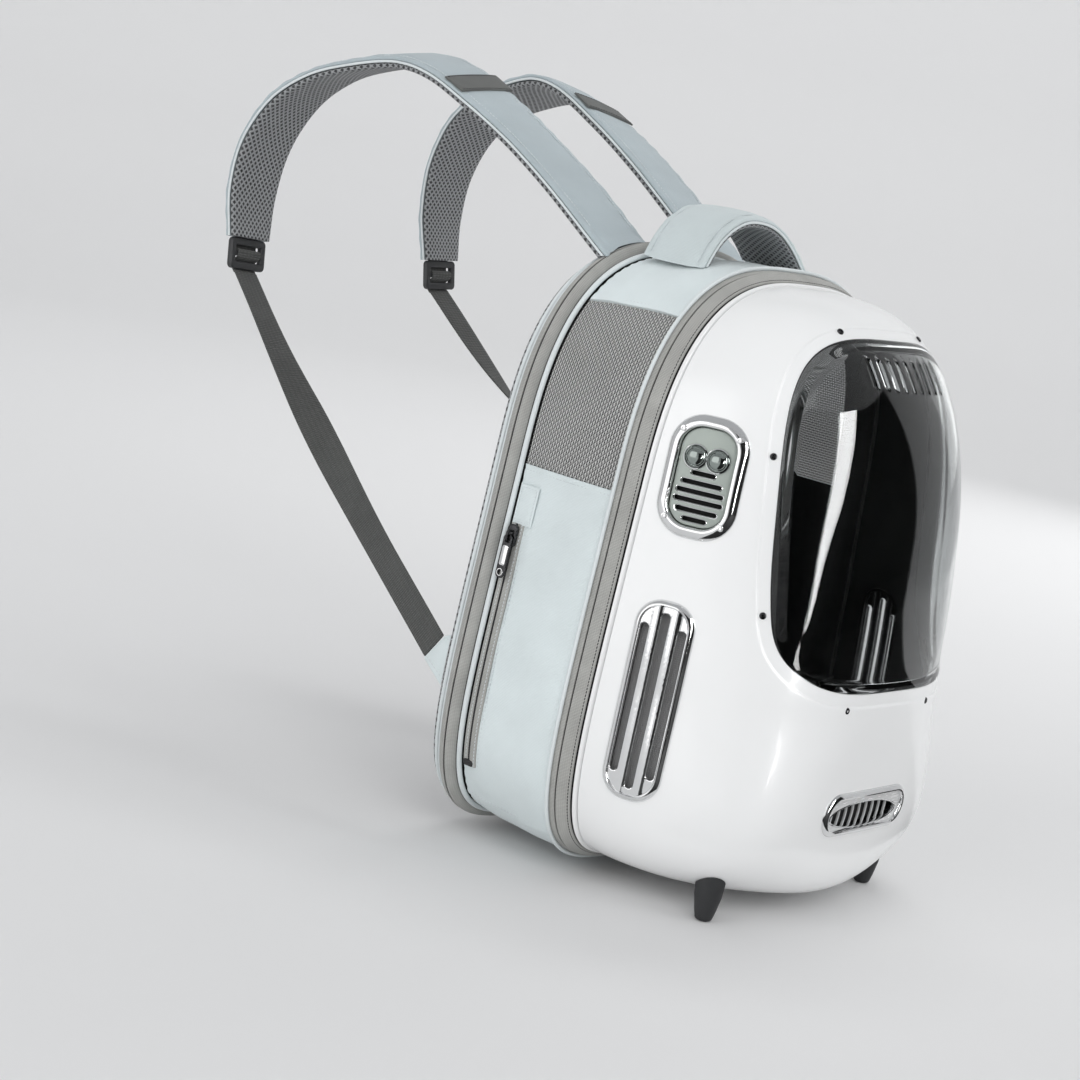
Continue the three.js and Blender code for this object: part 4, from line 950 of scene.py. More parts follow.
def control_module():
    """Bezel, slotted plate, two buttons and four screws on the left flank."""
    place, flat = MODULE_PATCH.place, MODULE_PATCH.flat
    bezel = Builder()
    sweep(bezel, contour(**MODULE), MODULE_BEZEL, place)
    finished(bezel, "module_bezel", ["chrome"], "chrome")
    radius = BUTTON["radius"]
    centres = [(side * BUTTON["across"], BUTTON["rise"]) for side in (-1, 1)]
    slots = [slot_loop(length / 2, MODULE_SLOT_HALF, (0, rise)) for rise, length in MODULE_SLOTS]
    holes = [circle(radius + 0.4, centre) for centre in centres]
    face = Builder()
    plate(face, [grown(MODULE, -9.4), *holes, *slots], PLATE_TOP - 3, PLATE_TOP, place, 0.75, 5)
    # Near-black plate behind the slots: painted shade for the dark inside seen through them
    plate(face, [grown(MODULE, -9.6)], PLATE_TOP - 6.4, PLATE_TOP - 5.4, place, 0.2, 8, kind=1)
    for rise, length in MODULE_SLOTS:
        slot = contour(length / 2, MODULE_SLOT_HALF, MODULE_SLOT_HALF - 0.02, (0, rise))
        sweep(face, slot, raised(SLOT_LIP, PLATE_TOP), place, kind=2)
    for centre in centres:
        hole = contour(radius, radius, radius - 0.01, centre)
        sweep(face, hole, raised(BUTTON_RING, PLATE_TOP), flat, kind=2)
    finished(face, "module_plate", ["plate", "void", "chrome"], "plate")
    for centre, name in zip(centres, ("fan", "light")):
        knob = Builder()
        turned(knob, raised(BUTTON_PROFILE, PLATE_TOP), flat, centre, 56)
        finished(knob, "button_" + name, ["gunmetal"], "chrome", body=name + "_button")
    screws = Builder()
    for u in (-BEZEL_SCREWS["across"], BEZEL_SCREWS["across"]):
        for v in (-BEZEL_SCREWS["up"], BEZEL_SCREWS["up"]):
            spot = Patch(place(u, v, 0), MODULE_PATCH.across, MODULE_PATCH.up, MODULE_PATCH.normal)
            screw_head(screws, spot, 2.3, 1.3, 3.7)
    finished(screws, "bezel_screws", ["chrome"], "steel", ["bezel_screw_%d" % i for i in range(1, 5)])


def window_screws():
    """Screw heads round the window on both sides."""
    screws = Builder()
    for side in (-1, 1):
        for x, z in WINDOW_SCREWS:
            screw_head(screws, Patch.on_dome(side * x, z), 2.6, 1.7, -1.2)
    finished(screws, "window_screws", ["steel"], "steel", ["window_screw_%d" % i for i in range(1, 9)])


def flank_vents():
    """Raised chrome frames with a slotted plate inside; a filter shows behind the left one."""
    slots = [slot_loop(FLANK_SLOT_HALF, half, (u, 0), 8) for u, half in FLANK_SLOTS]

    def crown(u, v):
        """Rounds the two bars."""
        off = np.abs(np.abs(u) - FLANK_BAR["middle"]) / FLANK_BAR["half"]
        return FLANK_BAR["crown"] * (1 - np.minimum(off, 1) ** 2)

    place = FLANK_PATCH.place
    for name, side in LEFT_RIGHT:
        vent = Builder()
        sweep(vent, contour(**FLANK_VENT), FLANK_RIM, place)
        plate(vent, [grown(FLANK_VENT, -4.4), *slots], -1.6, 2.2, place, 0.8, 1.6, crown)
        if side > 0:
            plate(vent, [grown(FLANK_VENT, -5.0)], -6.2, -5.4, place, 0.2, 8, kind=1)
        finished(vent, "vent_" + name, ["chrome", "filter"], "chrome", mirrored=side < 0)


def front_vent():
    """Rounded frame with a satin face and an oval mouth, and bowed upright fins behind the mouth."""
    place = FRONT_PATCH.place
    mouth = oval(**MOUTH)
    bezel = Builder()
    sweep(bezel, contour(**FRONT_VENT), FRONT_RIM, place)
    plate(bezel, [grown(FRONT_VENT, -4.4), mouth[0]], -3.4, -0.7, place, 0.3, 5, kind=1)
    sweep(bezel, mouth, MOUTH_LIP, place)
    finished(bezel, "front_vent_bezel", ["chrome", "satin"], "chrome")
    fins = Builder()
    v = np.linspace(FINS["low"], FINS["high"], 9)
    bow = FINS["bow"] * (1 - ((v - MOUTH["centre"][1]) / MOUTH["half_h"]) ** 2)
    for i in range(FINS["count"]):
        u = FINS["pitch"] * (i - FINS["count"] // 2) + bow + FINS["shift"]
        rows = place(u[:, None] + FIN_SECTION[:, 0], v[:, None], FIN_SECTION[:, 1])
        fins.tube(rows)
    # Near-black plate behind the fins: painted shade for the dark inside of the mouth
    plate(fins, [mouth[0] * [1.02, 1.1]], -12.5, -11, place, 0.2, 8, kind=1)
    finished(fins, "front_vent_louvres", ["fin", "void"], "plastic")


def feet():
    """Rubber pegs that end on the underside of the shell."""
    middle = np.array([-FOOT_SPOT[0], FOOT_SPOT[1]])
    angle = turns(FOOT_SIDES)
    ring = np.stack([np.cos(angle), np.sin(angle)], 1)
    rows = [np.column_stack([middle + radius * ring, np.full(FOOT_SIDES, z)]) for radius, z in FOOT_PROFILE]
    top = rows[-1].copy()
    top[:, :2] = middle + (top[:, :2] - middle) * 1.07
    low, high = np.full(FOOT_SIDES, -20.0), np.full(FOOT_SIDES, 80.0)
    for _ in range(24):
        top[:, 2] = (low + high) / 2
        out = DOME.outside(top)
        low, high = np.where(out, top[:, 2], low), np.where(out, high, top[:, 2])
    top[:, 2] = low - 0.4
    for name, side in LEFT_RIGHT:
        lofted(rows + [top], "foot_" + name, ["rubber"], "rubber", mirrored=side < 0)


control_module()
window_screws()
flank_vents()
front_vent()
feet()


# Sewn rings round the body

RING_STATIONS = 420
# Upper faces of the tapes and of the binding inside the front zip, as (y, height) pairs
FRONT_TAPE_REAR = [(-112.9, 1.5), (-114.2, 1.35), (-115.8, 0.9), (-117.1, 0.3)]
FRONT_TAPE_FRONT = [(-118.7, 0.7), (-119.4, 0.95), (-121.5, -0.2), (-124.5, -2.0), (-127.0, -3.4),
                    (-128.2, -4.1)]
FRONT_BINDING = [(-94, -2.6), (-104, -2.4), (-112, -3.0), (-120, -5.4), (-127, -8.8)]
REAR_TAPE_FRONT = [(-18.2, -0.8), (-17.4, 1.4), (-15.8, 3.5), (-14, 4.6), (-13, 4.8), (-12.2, 4.6)]
REAR_TAPE_REAR = [(-10.4, 4.3), (-9.8, 4.45), (-8, 3.7), (-5.4, 2.5), (-3.6, 0.9), (-2.3, -0.6)]
FRONT_COIL = dict(y=-117.9, height=-1.3)
REAR_COIL = dict(y=-11.3, height=2.6)
FRONT_SEAM = dict(y=-126.7, height=-3.2)
REAR_EDGE = dict(y=-1.4, height=-1.8, radius=1.1)
STITCH = dict(pitch=3.4, length=2.5, width=0.7, height=0.45)
RING_STITCH = dict(pitch=2.6, length=1.9, width=0.6, height=0.3)
TAPE_STITCH = dict(pitch=2.8, length=2.0, width=0.5, height=0.3)
GARAGE_STITCH = dict(pitch=2.8, length=2.0, width=0.55, height=0.35)
BAND_STITCH = dict(STITCH, width=0.6)


def ring_band(builder, section, kind=0):
    """Carries a closed section of (y, height) pairs round the body."""
    share = shares(RING_STATIONS)[:, None]
    section = np.asarray(section, float)
    builder.grid(on_body(share, section[:, 0], section[:, 1]), around=True, ring=True, kind=kind)


def tape_section(top, thickness=1.0):
    """Closed section of a tape from the line of its upper face, with its edges rounded down."""
    top = np.asarray(top, float)
    ends = [top[0] + [0, -0.45 * thickness], top[-1] + [0, -0.45 * thickness]]
    return np.concatenate([[ends[0]], top, [ends[1]], (top - [0, thickness])[::-1]])


def round_section(y, height, radius, sides=12):
    """Round section of a cord."""
    angle = turns(sides)
    return np.column_stack([y + radius * np.sin(angle), height + radius * np.cos(angle)])


def coil(builder, y, height, start=0.0, end=1.0, width=2.4, rise=0.5, pitch=1.5):
    """Zip teeth in the slit between two tapes, all round the body or along a stretch of its outline."""
    count = 2 * int((end - start) * BODY.total / pitch)
    whole = end - start == 1
    share = start + (end - start) * np.arange(count)[:, None] / count
    up = rise * (np.arange(count)[:, None] % 2)
    section = np.array([(-0.5, 0), (-0.25, 1), (0.25, 1), (0.5, 0), (0.3, -1), (-0.3, -1)])
    heights = height + up * (section[:, 1] > 0.5) + section[:, 1] * 0.5
    rows = on_body(share, y + section[:, 0] * width, heights)
    builder.grid(rows, around=True, ring=whole, caps=not whole, kind=1)


def zips():
    """Tapes and teeth of the two main zips, and the piping beside them."""
    front = Builder()
    for line in (FRONT_TAPE_REAR, FRONT_TAPE_FRONT):
        ring_band(front, tape_section(line))
    coil(front, **FRONT_COIL)
    share = np.linspace(0, 1, 900)
    stitches(front, on_body(share, **FRONT_SEAM), body_normal(share), **RING_STITCH, kind=1)
    ring_band(front, tape_section(FRONT_BINDING), 2)
    finished(front, "front_zip", ["tape", "coil", "lining"], "tape")
    rear = Builder()
    for line in (REAR_TAPE_FRONT, REAR_TAPE_REAR):
        ring_band(rear, tape_section(line))
    coil(rear, **REAR_COIL)
    ring_band(rear, round_section(**REAR_EDGE), 2)
    finished(rear, "rear_zip", ["tape", "coil", "piping"], "tape")
    for name, sizes in (("front_piping", FRONT_PIPING), ("rear_piping", REAR_PIPING)):
        cord = Builder()
        ring_band(cord, round_section(**sizes))
        finished(cord, name, ["piping"], "piping")


# Gusset panels


def gusset_height(y):
    """Height of the gusset over the body's outline."""
    return np.interp(-np.asarray(y, float), -np.array(GUSSET_Y), GUSSET_HEIGHT)


def puckers(run, y, slack):
    """Small gathers along the two seams and slack waves between them, in millimetres."""
    edge = np.minimum(y - GUSSET_Y[-1], GUSSET_Y[0] - y)
    gathers = 0.45 * np.exp(-edge / 6) * np.sin(2 * np.pi * run / 9.5 + 1.7 * np.sin(run / 41))
    waves = np.sin(run / 23 + y / 17 + np.sin(run / 61)) * np.sin(run / 37 - y / 29)
    fold = np.sin(run / 47 + y / 31 + 0.6 * np.sin(y / 19)) / 0.16
    creases = np.exp(-(fold**2)) * np.sin(run / 71 + 1.1)
    inside = smooth(edge, 0, 25)
    return gathers + slack * (waves + 0.8 * creases) * inside - 1.1 * np.exp(-((edge / 0.8) ** 2))


def stitches(builder, path, normal, pitch, length, width, height, kind=0):
    """Row of stitches along a line of points, each a low bar that dives in at its ends."""
    path = np.asarray(path, float)
    run = run_along(path)
    count = max(int(run[-1] // pitch), 1)
    spots = (np.arange(count) + 0.5) * run[-1] / count

    middle = points_at(spots, run, path)
    way = unit(points_at(spots + 0.8, run, path) - points_at(spots - 0.8, run, path))
    up = unit(points_at(spots, run, np.broadcast_to(normal, path.shape)))
    side = np.cross(up, way)
    bars = np.array([(l, w, h) for l, top in ((-0.5, 0.05), (0.0, 1.0), (0.5, 0.05))
                     for w, h in ((-0.5, -0.5), (-0.35, top), (0.35, top), (0.5, -0.5))])
    points = middle[:, None] + way[:, None] * (bars[:, :1] * length)
    points = points + side[:, None] * (bars[:, 1:2] * width) + up[:, None] * (bars[:, 2:] * height)
    ring = [(a + i, a + (i + 1) % 4, a + 4 + (i + 1) % 4, a + 4 + i) for a in (0, 4) for i in range(4)]
    pattern = np.array(ring + [(3, 2, 1, 0), (8, 9, 10, 11)])
    faces = (pattern[None] + 12 * np.arange(count)[:, None, None]).reshape(-1, 4)
    builder.add(points, faces.tolist(), kind=kind)


def body_normal(share):
    """Outward directions at shares of the body's outline."""
    x, z = BODY.at(share, 0.0)
    ox, oz = BODY.at(share, 1.0)
    return np.stack([ox - x, np.zeros_like(x), oz - z], -1)


def sewn_line(builder, share, y, lift, kind):
    """Stitches on the gusset along places of its outline and of its depth."""
    share, y = np.broadcast_arrays(np.asarray(share, float), np.asarray(y, float))
    stitches(builder, on_body(share, y, gusset_height(y) + lift), body_normal(share), **STITCH, kind=kind)


SHARES = dict(mesh_top=BODY.share_at(MESH_TOP), mesh_bottom=BODY.share_at(MESH_BOTTOM),
              bottom=BODY.share_at(BOTTOM_SEAM))


def line_inside(obj, index):
    """Gives the faces that look into the bag a material of their own."""
    for face in obj.data.polygons:
        out = Vector((face.center.x, 0, face.center.z)).normalized()
        if face.normal.dot(out) < -0.5:
            face.material_index = index


def gusset_panel(name, start, end, slack, hems, mirrored=False):
    """Strip of cloth along the outline; hems are the ends that are turned over and stitched."""
    length = (end - start) * BODY.total
    count = int(length / 3)
    gap = 0.2 / BODY.total
    share = np.linspace(start + gap, end - gap, count)[:, None]
    run = share * BODY.total
    seam = np.array([0, 0.5, 1.1, 2.0])
    width = GUSSET_WIDTH
    y = GUSSET_Y[0] - np.concatenate([seam, np.linspace(3.2, width - 3.2, 32), width - seam[::-1]])
    height = gusset_height(y) + puckers(run, y, slack)
    from_start, to_end = run - start * BODY.total, end * BODY.total - run
    for wanted, gone in zip(hems, (from_start, to_end)):
        if wanted:
            height = height + HEM["rise"] * (1 - smooth(gone, HEM["start"], HEM["end"]))
            height = height - HEM["dip"] * np.exp(-(((gone - HEM["line"]) / 0.8) ** 2))
    section_y = np.concatenate([y, y[::-1]])
    inside = np.minimum(height, gusset_height(y)) - CLOTH_WALL
    heights = np.concatenate([height, inside[:, ::-1]], 1)
    build = Builder()
    build.tube(on_body(share, section_y, heights))
    across = np.linspace(GUSSET_Y[0] - 2, GUSSET_Y[-1] + 2, 60)
    hem = HEM["line"] / BODY.total
    for wanted, at in zip(hems, (start + hem, end - hem)):
        if wanted:
            sewn_line(build, at, across, 0.2, 1)
    obj = build.make(name, [LOOKS["cloth"], LOOKS["thread"], LOOKS["lining"]], mirrored)
    line_inside(obj, 2)
    piece(obj, [name])


def mesh_panel(name, mirrored):
    """Net of real threads between the seams, light along the outline and dark across it."""
    start, end = SHARES["mesh_top"], SHARES["mesh_bottom"]
    length = (end - start) * BODY.total
    rows, columns = int(length / NET["pitch"]), int(GUSSET_WIDTH / NET["pitch"])
    a = start + (end - start) * np.arange(2 * rows + 1) / (2 * rows)
    b = GUSSET_Y[-1] + GUSSET_WIDTH * np.arange(2 * columns + 1) / (2 * columns)
    i, j = np.meshgrid(np.arange(rows), np.arange(columns), indexing="ij")
    over = np.where((i + j) % 2, NET["wave"], -NET["wave"])
    ring = np.array([(1, 0), (0, 1), (-1, 0), (0, -1)]) * NET["half"]

    def lifted(crossings):
        """Heights at the crossings and halfway between them."""
        ends = np.concatenate([crossings[:1], crossings, crossings[-1:]])
        heights = np.zeros(2 * len(crossings) + 1)
        heights[1::2] = crossings
        heights[::2] = (ends[:-1] + ends[1:]) / 2
        return heights

    build = Builder()
    for column in range(columns):
        up = lifted(over[:, column])
        y = b[2 * column + 1] + ring[:, 0]
        height = gusset_height(y) + NET["sunk"] + up[:, None] + ring[:, 1]
        build.tube(on_body(a[:, None], y, height))
    for row in range(rows):
        share = a[2 * row + 1] + ring[:, 0] / BODY.total
        height = gusset_height(b) + NET["sunk"] + lifted(-over[row])
        build.tube(on_body(share, b[:, None], height[:, None] + ring[:, 1]), kind=1)
    obj = build.make(name, [LOOKS["mesh"], LOOKS["mesh_weft"]], mirrored, angle=70)
    piece(obj, [name])


def gussets():
    """Panels between the zips: cloth at the top, the bottom and the lower sides, mesh above."""
    top, bottom, seam = SHARES["mesh_top"], SHARES["mesh_bottom"], SHARES["bottom"]
    gusset_panel("gusset_top", -top, top, 1.1, (True, True))
    gusset_panel("gusset_bottom", seam, 1 - seam, 0.4, (False, False))
    for name, side in LEFT_RIGHT:
        gusset_panel("gusset_" + name, bottom, seam, 0.9, (True, True), side < 0)
        mesh_panel("mesh_panel_" + name, side < 0)


zips()
gussets()


# Pocket zip, sliders and back panel

PULL = dict(pivot=1.9, thickness=1.5, width=8, length=33)
SLIDER_ARCH = np.array([(-4.1, 3.0), (-4.1, 6.0), (-3.6, 7.6), (-2.2, 8.5), (0, 8.7), (2.2, 8.5), (3.6, 7.6),
                        (4.1, 6.0), (4.1, 3.0)])
ARCH_WALL, ARCH_HALF = 1.5, 0.9
# Plain sliders of the main zips: name, y, z and height over the outline
HIDDEN_SLIDERS = [("front_zip_slider", -120, 120, 2.6), ("rear_zip_slider", -9, 120, 5.6)]
# Tapes of the pocket zip, as (y, height over the gusset) pairs, and its rows of stitches
POCKET_TAPES = [
    [(-24.8, 1.0), (-26.5, 1.5), (-28.6, 1.7), (-29.9, 1.5)],
    [(-32.0, 1.5), (-33.0, 1.7), (-35.6, 1.6), (-37.4, 1.4), (-38.3, 1.0)],
]
POCKET_SEAMS, POCKET_HEM = (-28.0, -36.6), -40.6
POCKET_STATIONS = 90
# Flap over the closed end of the pocket zip, sewn down on a line inside its edge
GARAGE = dict(low=239, high=269, rear=-25.4, front=-45.5, seam=2)


def gusset_patch(y, z, height):
    """Flat axes on the gusset's left side: u toward the dome, v up along the outline."""
    share = BODY.share_at(z)
    across = np.array([0.0, -1.0, 0.0])
    up = unit(on_body(share - 0.002, y, height) - on_body(share + 0.002, y, height))
    return Patch(on_body(share, y, height), across, up, np.cross(across, up))


def pocket_zip():
    """Tapes, teeth and end stop of the pocket zip, and the hem before it."""
    top, bottom = BODY.share_at(POCKET_ZIP["top"]), BODY.share_at(POCKET_ZIP["bottom"])
    share = np.linspace(top, bottom, POCKET_STATIONS)
    tape = Builder()
    for line in POCKET_TAPES:
        section = tape_section([(y, gusset_height(y) + lift) for y, lift in line])
        tape.tube(on_body(share[:, None], section[:, 0], section[:, 1]))
    middle = gusset_height(POCKET_ZIP["coil"])
    coil(tape, POCKET_ZIP["coil"], middle + 0.7, top, bottom, 3.0)
    stop = gusset_patch(POCKET_ZIP["coil"], POCKET_ZIP["bottom"] + 2, middle)
    plate(tape, [contour(5, 2.6, 2.2)[0]], 0.6, 2.6, stop.flat, 0.6, kind=1)
    for y in POCKET_SEAMS:
        path = on_body(share, y, gusset_height(y) + 1.65)
        stitches(tape, path, body_normal(share), **TAPE_STITCH, kind=2)
    finished(tape, "pocket_zip", ["tape", "coil", "thread"], "tape")
    hem = Builder()
    sewn_line(hem, np.linspace(BODY.share_at(GARAGE["low"]), bottom, POCKET_STATIONS), POCKET_HEM, 0.25, 0)
    finished(hem, "pocket_hem", ["thread"], "piping", ())


def garage():
    """Flap of cloth over the closed end of the pocket zip, sewn down round its edge."""
    z = np.linspace(GARAGE["high"], GARAGE["low"], 26)
    y = np.linspace(GARAGE["rear"], GARAGE["front"], 20)
    zz, yy = np.meshgrid(z, y, indexing="ij")
    edge = np.minimum(np.minimum(zz - z[-1], z[0] - zz), np.minimum(yy - y[-1], y[0] - yy))
    seam = np.exp(-(((edge - GARAGE["seam"]) / 0.8) ** 2))
    raise_by = 1.5 + 0.6 * smooth(edge, 0, 0.8) + 0.5 * smooth(edge, 2.5, 7) - 0.4 * seam
    share = BODY.share_at(zz)
    outer = on_body(share, yy, gusset_height(yy) + raise_by)
    inner = on_body(share, yy, gusset_height(yy) + 1.2)
    flap = Builder()
    flap.tube(np.concatenate([outer, inner[:, ::-1]], 1))
    low, high = GARAGE["low"] + GARAGE["seam"], GARAGE["high"] - GARAGE["seam"]
    rear, front = GARAGE["rear"] - GARAGE["seam"], GARAGE["front"] + GARAGE["seam"]
    corners = [(high, rear), (low, rear), (low, front), (high, front)]
    for (z0, y0), (z1, y1) in zip(corners, corners[1:] + corners[:1]):
        spots, ys = BODY.share_at(np.linspace(z0, z1, 30)), np.linspace(y0, y1, 30)
        path = on_body(spots, ys, gusset_height(ys) + 1.85)
        stitches(flap, path, body_normal(spots), **GARAGE_STITCH, kind=1)
    obj = finished(flap, "pocket_garage", ["cloth", "thread"], "cloth", ())


def slider(patch):
    """Slider of the pocket zip with its bridge."""
    body = Builder()
    plate(body, [contour(4.5, 8.5, 3.2)[0]], SLIDER["low"], SLIDER["thickness"], patch.flat, 0.9)
    end = np.abs(SLIDER_ARCH[:, :1]).max()
    standing = np.abs(SLIDER_ARCH[:, :1]) < 4
    inner = SLIDER_ARCH * [1 - ARCH_WALL / end, 1] - [0, ARCH_WALL] * standing
    across = np.array([-1, 1, 1, -1]) * ARCH_HALF
    rows = [patch.flat(across, [o[0], o[0], i[0], i[0]], [o[1], o[1], i[1], i[1]])
            for o, i in zip(SLIDER_ARCH, inner)]
    body.tube(rows)
    finished(body, "pocket_slider", ["steel"], "steel")


def pull(patch):
    """Tag with a bright face, its eye round the slider's bridge."""
    height, bar = SLIDER["thickness"] + PULL["pivot"], PULL["thickness"] / 2
    half_w = PULL["width"] / 2
    middle = (bar - PULL["length"]) / 2
    outline = contour(half_w, (PULL["length"] + bar) / 2, half_w - 0.3, (0, middle))[0]
    eye = contour(2, 2.4, 0.75, (0, -3.2))[0]
    ring = half_w + 0.5 - PULL["length"]
    tag = Builder()
    plate(tag, [outline, eye, circle(2, (0, ring), 6)], height - bar, height + bar, patch.flat, 0.4)
    face = contour(2.7, 7.6, 1.4, (0, -15.6))[0]
    plate(tag, [face], height - bar - 0.25, height + bar + 0.25, patch.flat, 0.3, kind=1)
    eyelet = [(0.2, bar), (0.3, bar + 0.3), (0.8, bar + 0.3), (0.9, bar)]
    sweep(tag, contour(2, 2, 1.99, (0, ring)), raised(eyelet, height), patch.flat, kind=1)
    finished(tag, "pocket_pull", ["steel", "chrome"], "steel", body="zip_pull")


def hidden_sliders():
    """Plain sliders with their tags, on the right side."""
    for name, y, z, height in HIDDEN_SLIDERS:
        patch = gusset_patch(y, z, height)
        both = Builder()
        plate(both, [contour(4.5, 9, 3)[0]], 0, 3.2, patch.flat, 0.8)
        plate(both, [contour(3.5, 13, 3, (0, -15))[0], circle(1.6, (0, -24.5), 5)], 2.4, 4, patch.flat, 0.4)
        finished(both, name, ["steel"], "steel", mirrored=True)


BACK_EDGE = [(4.5, 0.4), (4.5, 5.6), (5.0, 7.0), (6.4, 8.8), (8.4, 10.3), (11, 11.2), (15, 11.8), (20, 12.0)]
BACK = dict(stations=400, rings=100, middle=235.0, crown=0.6, fade=0.06)
BACK_FACE = BACK_EDGE[-1][1] + BACK["crown"]
BACK_BINDING = dict(y=3.2, height=-4.2, radius=1.9)
# Sewn channels of the back panel: two beside the spine, one on each side, and rows across
QUILT = dict(spine=9, sides=(-96.0, 96.0), across=(120.0, 235.0, 350.0), depth=5.2, width=11.0)


def quilting(x, z):
    """Depth of the sewn channels of the back panel, and of the spine between the middle two."""
    lines = [np.abs(np.abs(x) - QUILT["spine"])] + [np.abs(x - side) for side in QUILT["sides"]]
    rows = np.stack([np.abs(z - row) for row in QUILT["across"]]).min(0)
    lines.append(np.where(np.abs(x) < QUILT["spine"], 99.0, rows))
    nearest = np.stack(lines).min(0)
    spine = 1 - smooth(np.abs(x), 5, QUILT["spine"])
    return QUILT["depth"] * np.exp(-nearest / QUILT["width"]) + 2.2 * spine


def back_panel():
    """Quilted pad of spacer mesh with a bound edge, on a lined base."""
    share = shares(BACK["stations"])
    rows = [on_body(share, y, -inset) for inset, y in BACK_EDGE]
    edge_x, edge_z = BODY.at(share, -BACK_EDGE[-1][0])
    for s in np.linspace(1, 0.004, BACK["rings"])[1:]:
        x, z = edge_x * s, BACK["middle"] + (edge_z - BACK["middle"]) * s
        fade = smooth(1 - s, 0, BACK["fade"])
        y = BACK_EDGE[-1][1] + BACK["crown"] * fade - quilting(x, z) * fade
        rows.append(np.stack([x, y, z], -1))
    pad = Builder()
    pad.tube(rows)
    obj = pad.make("back_panel", [LOOKS["air_mesh"], LOOKS["lining"]])
    places = obj.data.uv_layers[0].data
    for loop in obj.data.loops:
        at = obj.data.vertices[loop.vertex_index].co
        places[loop.index].uv = (at.x, at.z)
    for face in obj.data.polygons:
        if face.normal.y < -0.9:
            face.material_index = 1
    piece(obj, ["back_panel"])
    sewing = Builder()

    def seam(x, z):
        x, z = np.broadcast_arrays(x, z)
        path = np.column_stack([x, BACK_FACE - quilting(x, z), z])
        stitches(sewing, path, np.array([0, 1.0, 0]), **STITCH)

    for x in (-QUILT["spine"], QUILT["spine"], *QUILT["sides"]):
        seam(x, np.linspace(40, 415, 160)[8:-8])
    for row in QUILT["across"]:
        for sign in (-1, 1):
            seam(sign * np.linspace(11, 140, 60), row)
    ring_band(sewing, round_section(**BACK_BINDING), 1)
    finished(sewing, "back_binding", ["thread", "piping"], "piping", ())


SLIDER_PATCH = gusset_patch(SLIDER["y"], SLIDER["z"], gusset_height(SLIDER["y"]) + SLIDER["lift"])
pocket_zip()
garage()
slider(SLIDER_PATCH)
pull(SLIDER_PATCH)
hidden_sliders()
back_panel()


# Straps and handle


class Path:
    """Even stations on a smooth curve through points, with the directions of a band laid along it."""

    def __init__(self, points, count, across, width=None):
        points = np.asarray(points, float)
        ghost = np.vstack([2 * points[0] - points[1], points, 2 * points[-1] - points[-2]])
        spots, places = [], []
        w = np.linspace(0, 1, 80, endpoint=False)[:, None]
        for i in range(len(points) - 1):
            p0, p1, p2, p3 = ghost[i:i + 4]
            d0, d1, d2 = (np.linalg.norm(q - p) ** 0.5 for p, q in ((p0, p1), (p1, p2), (p2, p3)))
            start = ((p1 - p0) / d0 - (p2 - p0) / (d0 + d1) + (p2 - p1) / d1) * d1
            end = ((p2 - p1) / d1 - (p3 - p1) / (d1 + d2) + (p3 - p2) / d2) * d1
            spots.append((2 * w**3 - 3 * w**2 + 1) * p1 + (w**3 - 2 * w**2 + w) * start
                         + (-2 * w**3 + 3 * w**2) * p2 + (w**3 - w**2) * end)
            places.append(i + w[:, 0])
        spots = np.vstack([*spots, points[-1]])
        places = np.concatenate([*places, [len(points) - 1]])
        run = run_along(spots)
        at = np.linspace(0, run[-1], count)
        self.length = run[-1]
        self.share = at / run[-1]
        self.point = points_at(at, run, spots)
        self.tangent = unit(np.gradient(self.point, axis=0))
        self.place = np.interp(at, run, places)
        across = across(self)
        across = across - (across * self.tangent).sum(1, keepdims=True) * self.tangent
        self.across = unit(across)
        self.normal = np.cross(self.across, self.tangent)
        if width is not None:
            self.width = np.interp(self.place, np.arange(len(points)), width)

    def band(self, w, h):
        """Points at places w across and heights h; both (stations, places)."""
        return (self.point[:, None] + self.across[:, None] * np.asarray(w)[..., None]
                + self.normal[:, None] * np.asarray(h)[..., None])


def cushion_section(path, low, high, crown, sides=40, power=7.0, dips=0.0, dip_inset=6.0):
    """Rounded section of a padded band: places across and heights at each station."""
    turn = turns(sides)
    cos, sin = np.cos(turn), np.sin(turn)
    across = np.sign(cos) * np.abs(cos) ** (2 / power)
    rise = np.sign(sin) * np.abs(sin) ** 0.8
    w = path.width[:, None] / 2 * across
    h = low + (high - low - crown * across**2) * (1 + rise) / 2
    run = path.share[:, None] * path.length
    if dips:
        off = np.abs(w) - (path.width[:, None] / 2 - dip_inset)
        h = h - dips * np.exp(-(off / 1.5) ** 2) * np.where(rise > 0.5, 1, 0)
        ripple = 0.35 * np.sin(run / 3.1 + 2 * np.sin(run / 29)) + 0.35 * np.sin(run / 17 + w / 9)
        h = h + ripple * smooth(np.abs(w), 8, 24) * (rise > 0.3)
    return w, h


def strap_across(path):
    """Directions across the strap, rolled as its table says."""
    roll = np.radians(np.interp(path.place, np.arange(len(STRAP_PATH)), [row[4] for row in STRAP_PATH]))
    return np.stack([np.cos(roll), np.zeros_like(roll), np.sin(roll)], 1)


STRAP = Path([row[:3] for row in STRAP_PATH], 260, strap_across, [row[3] for row in STRAP_PATH])
EDGE_CORD = 0.9
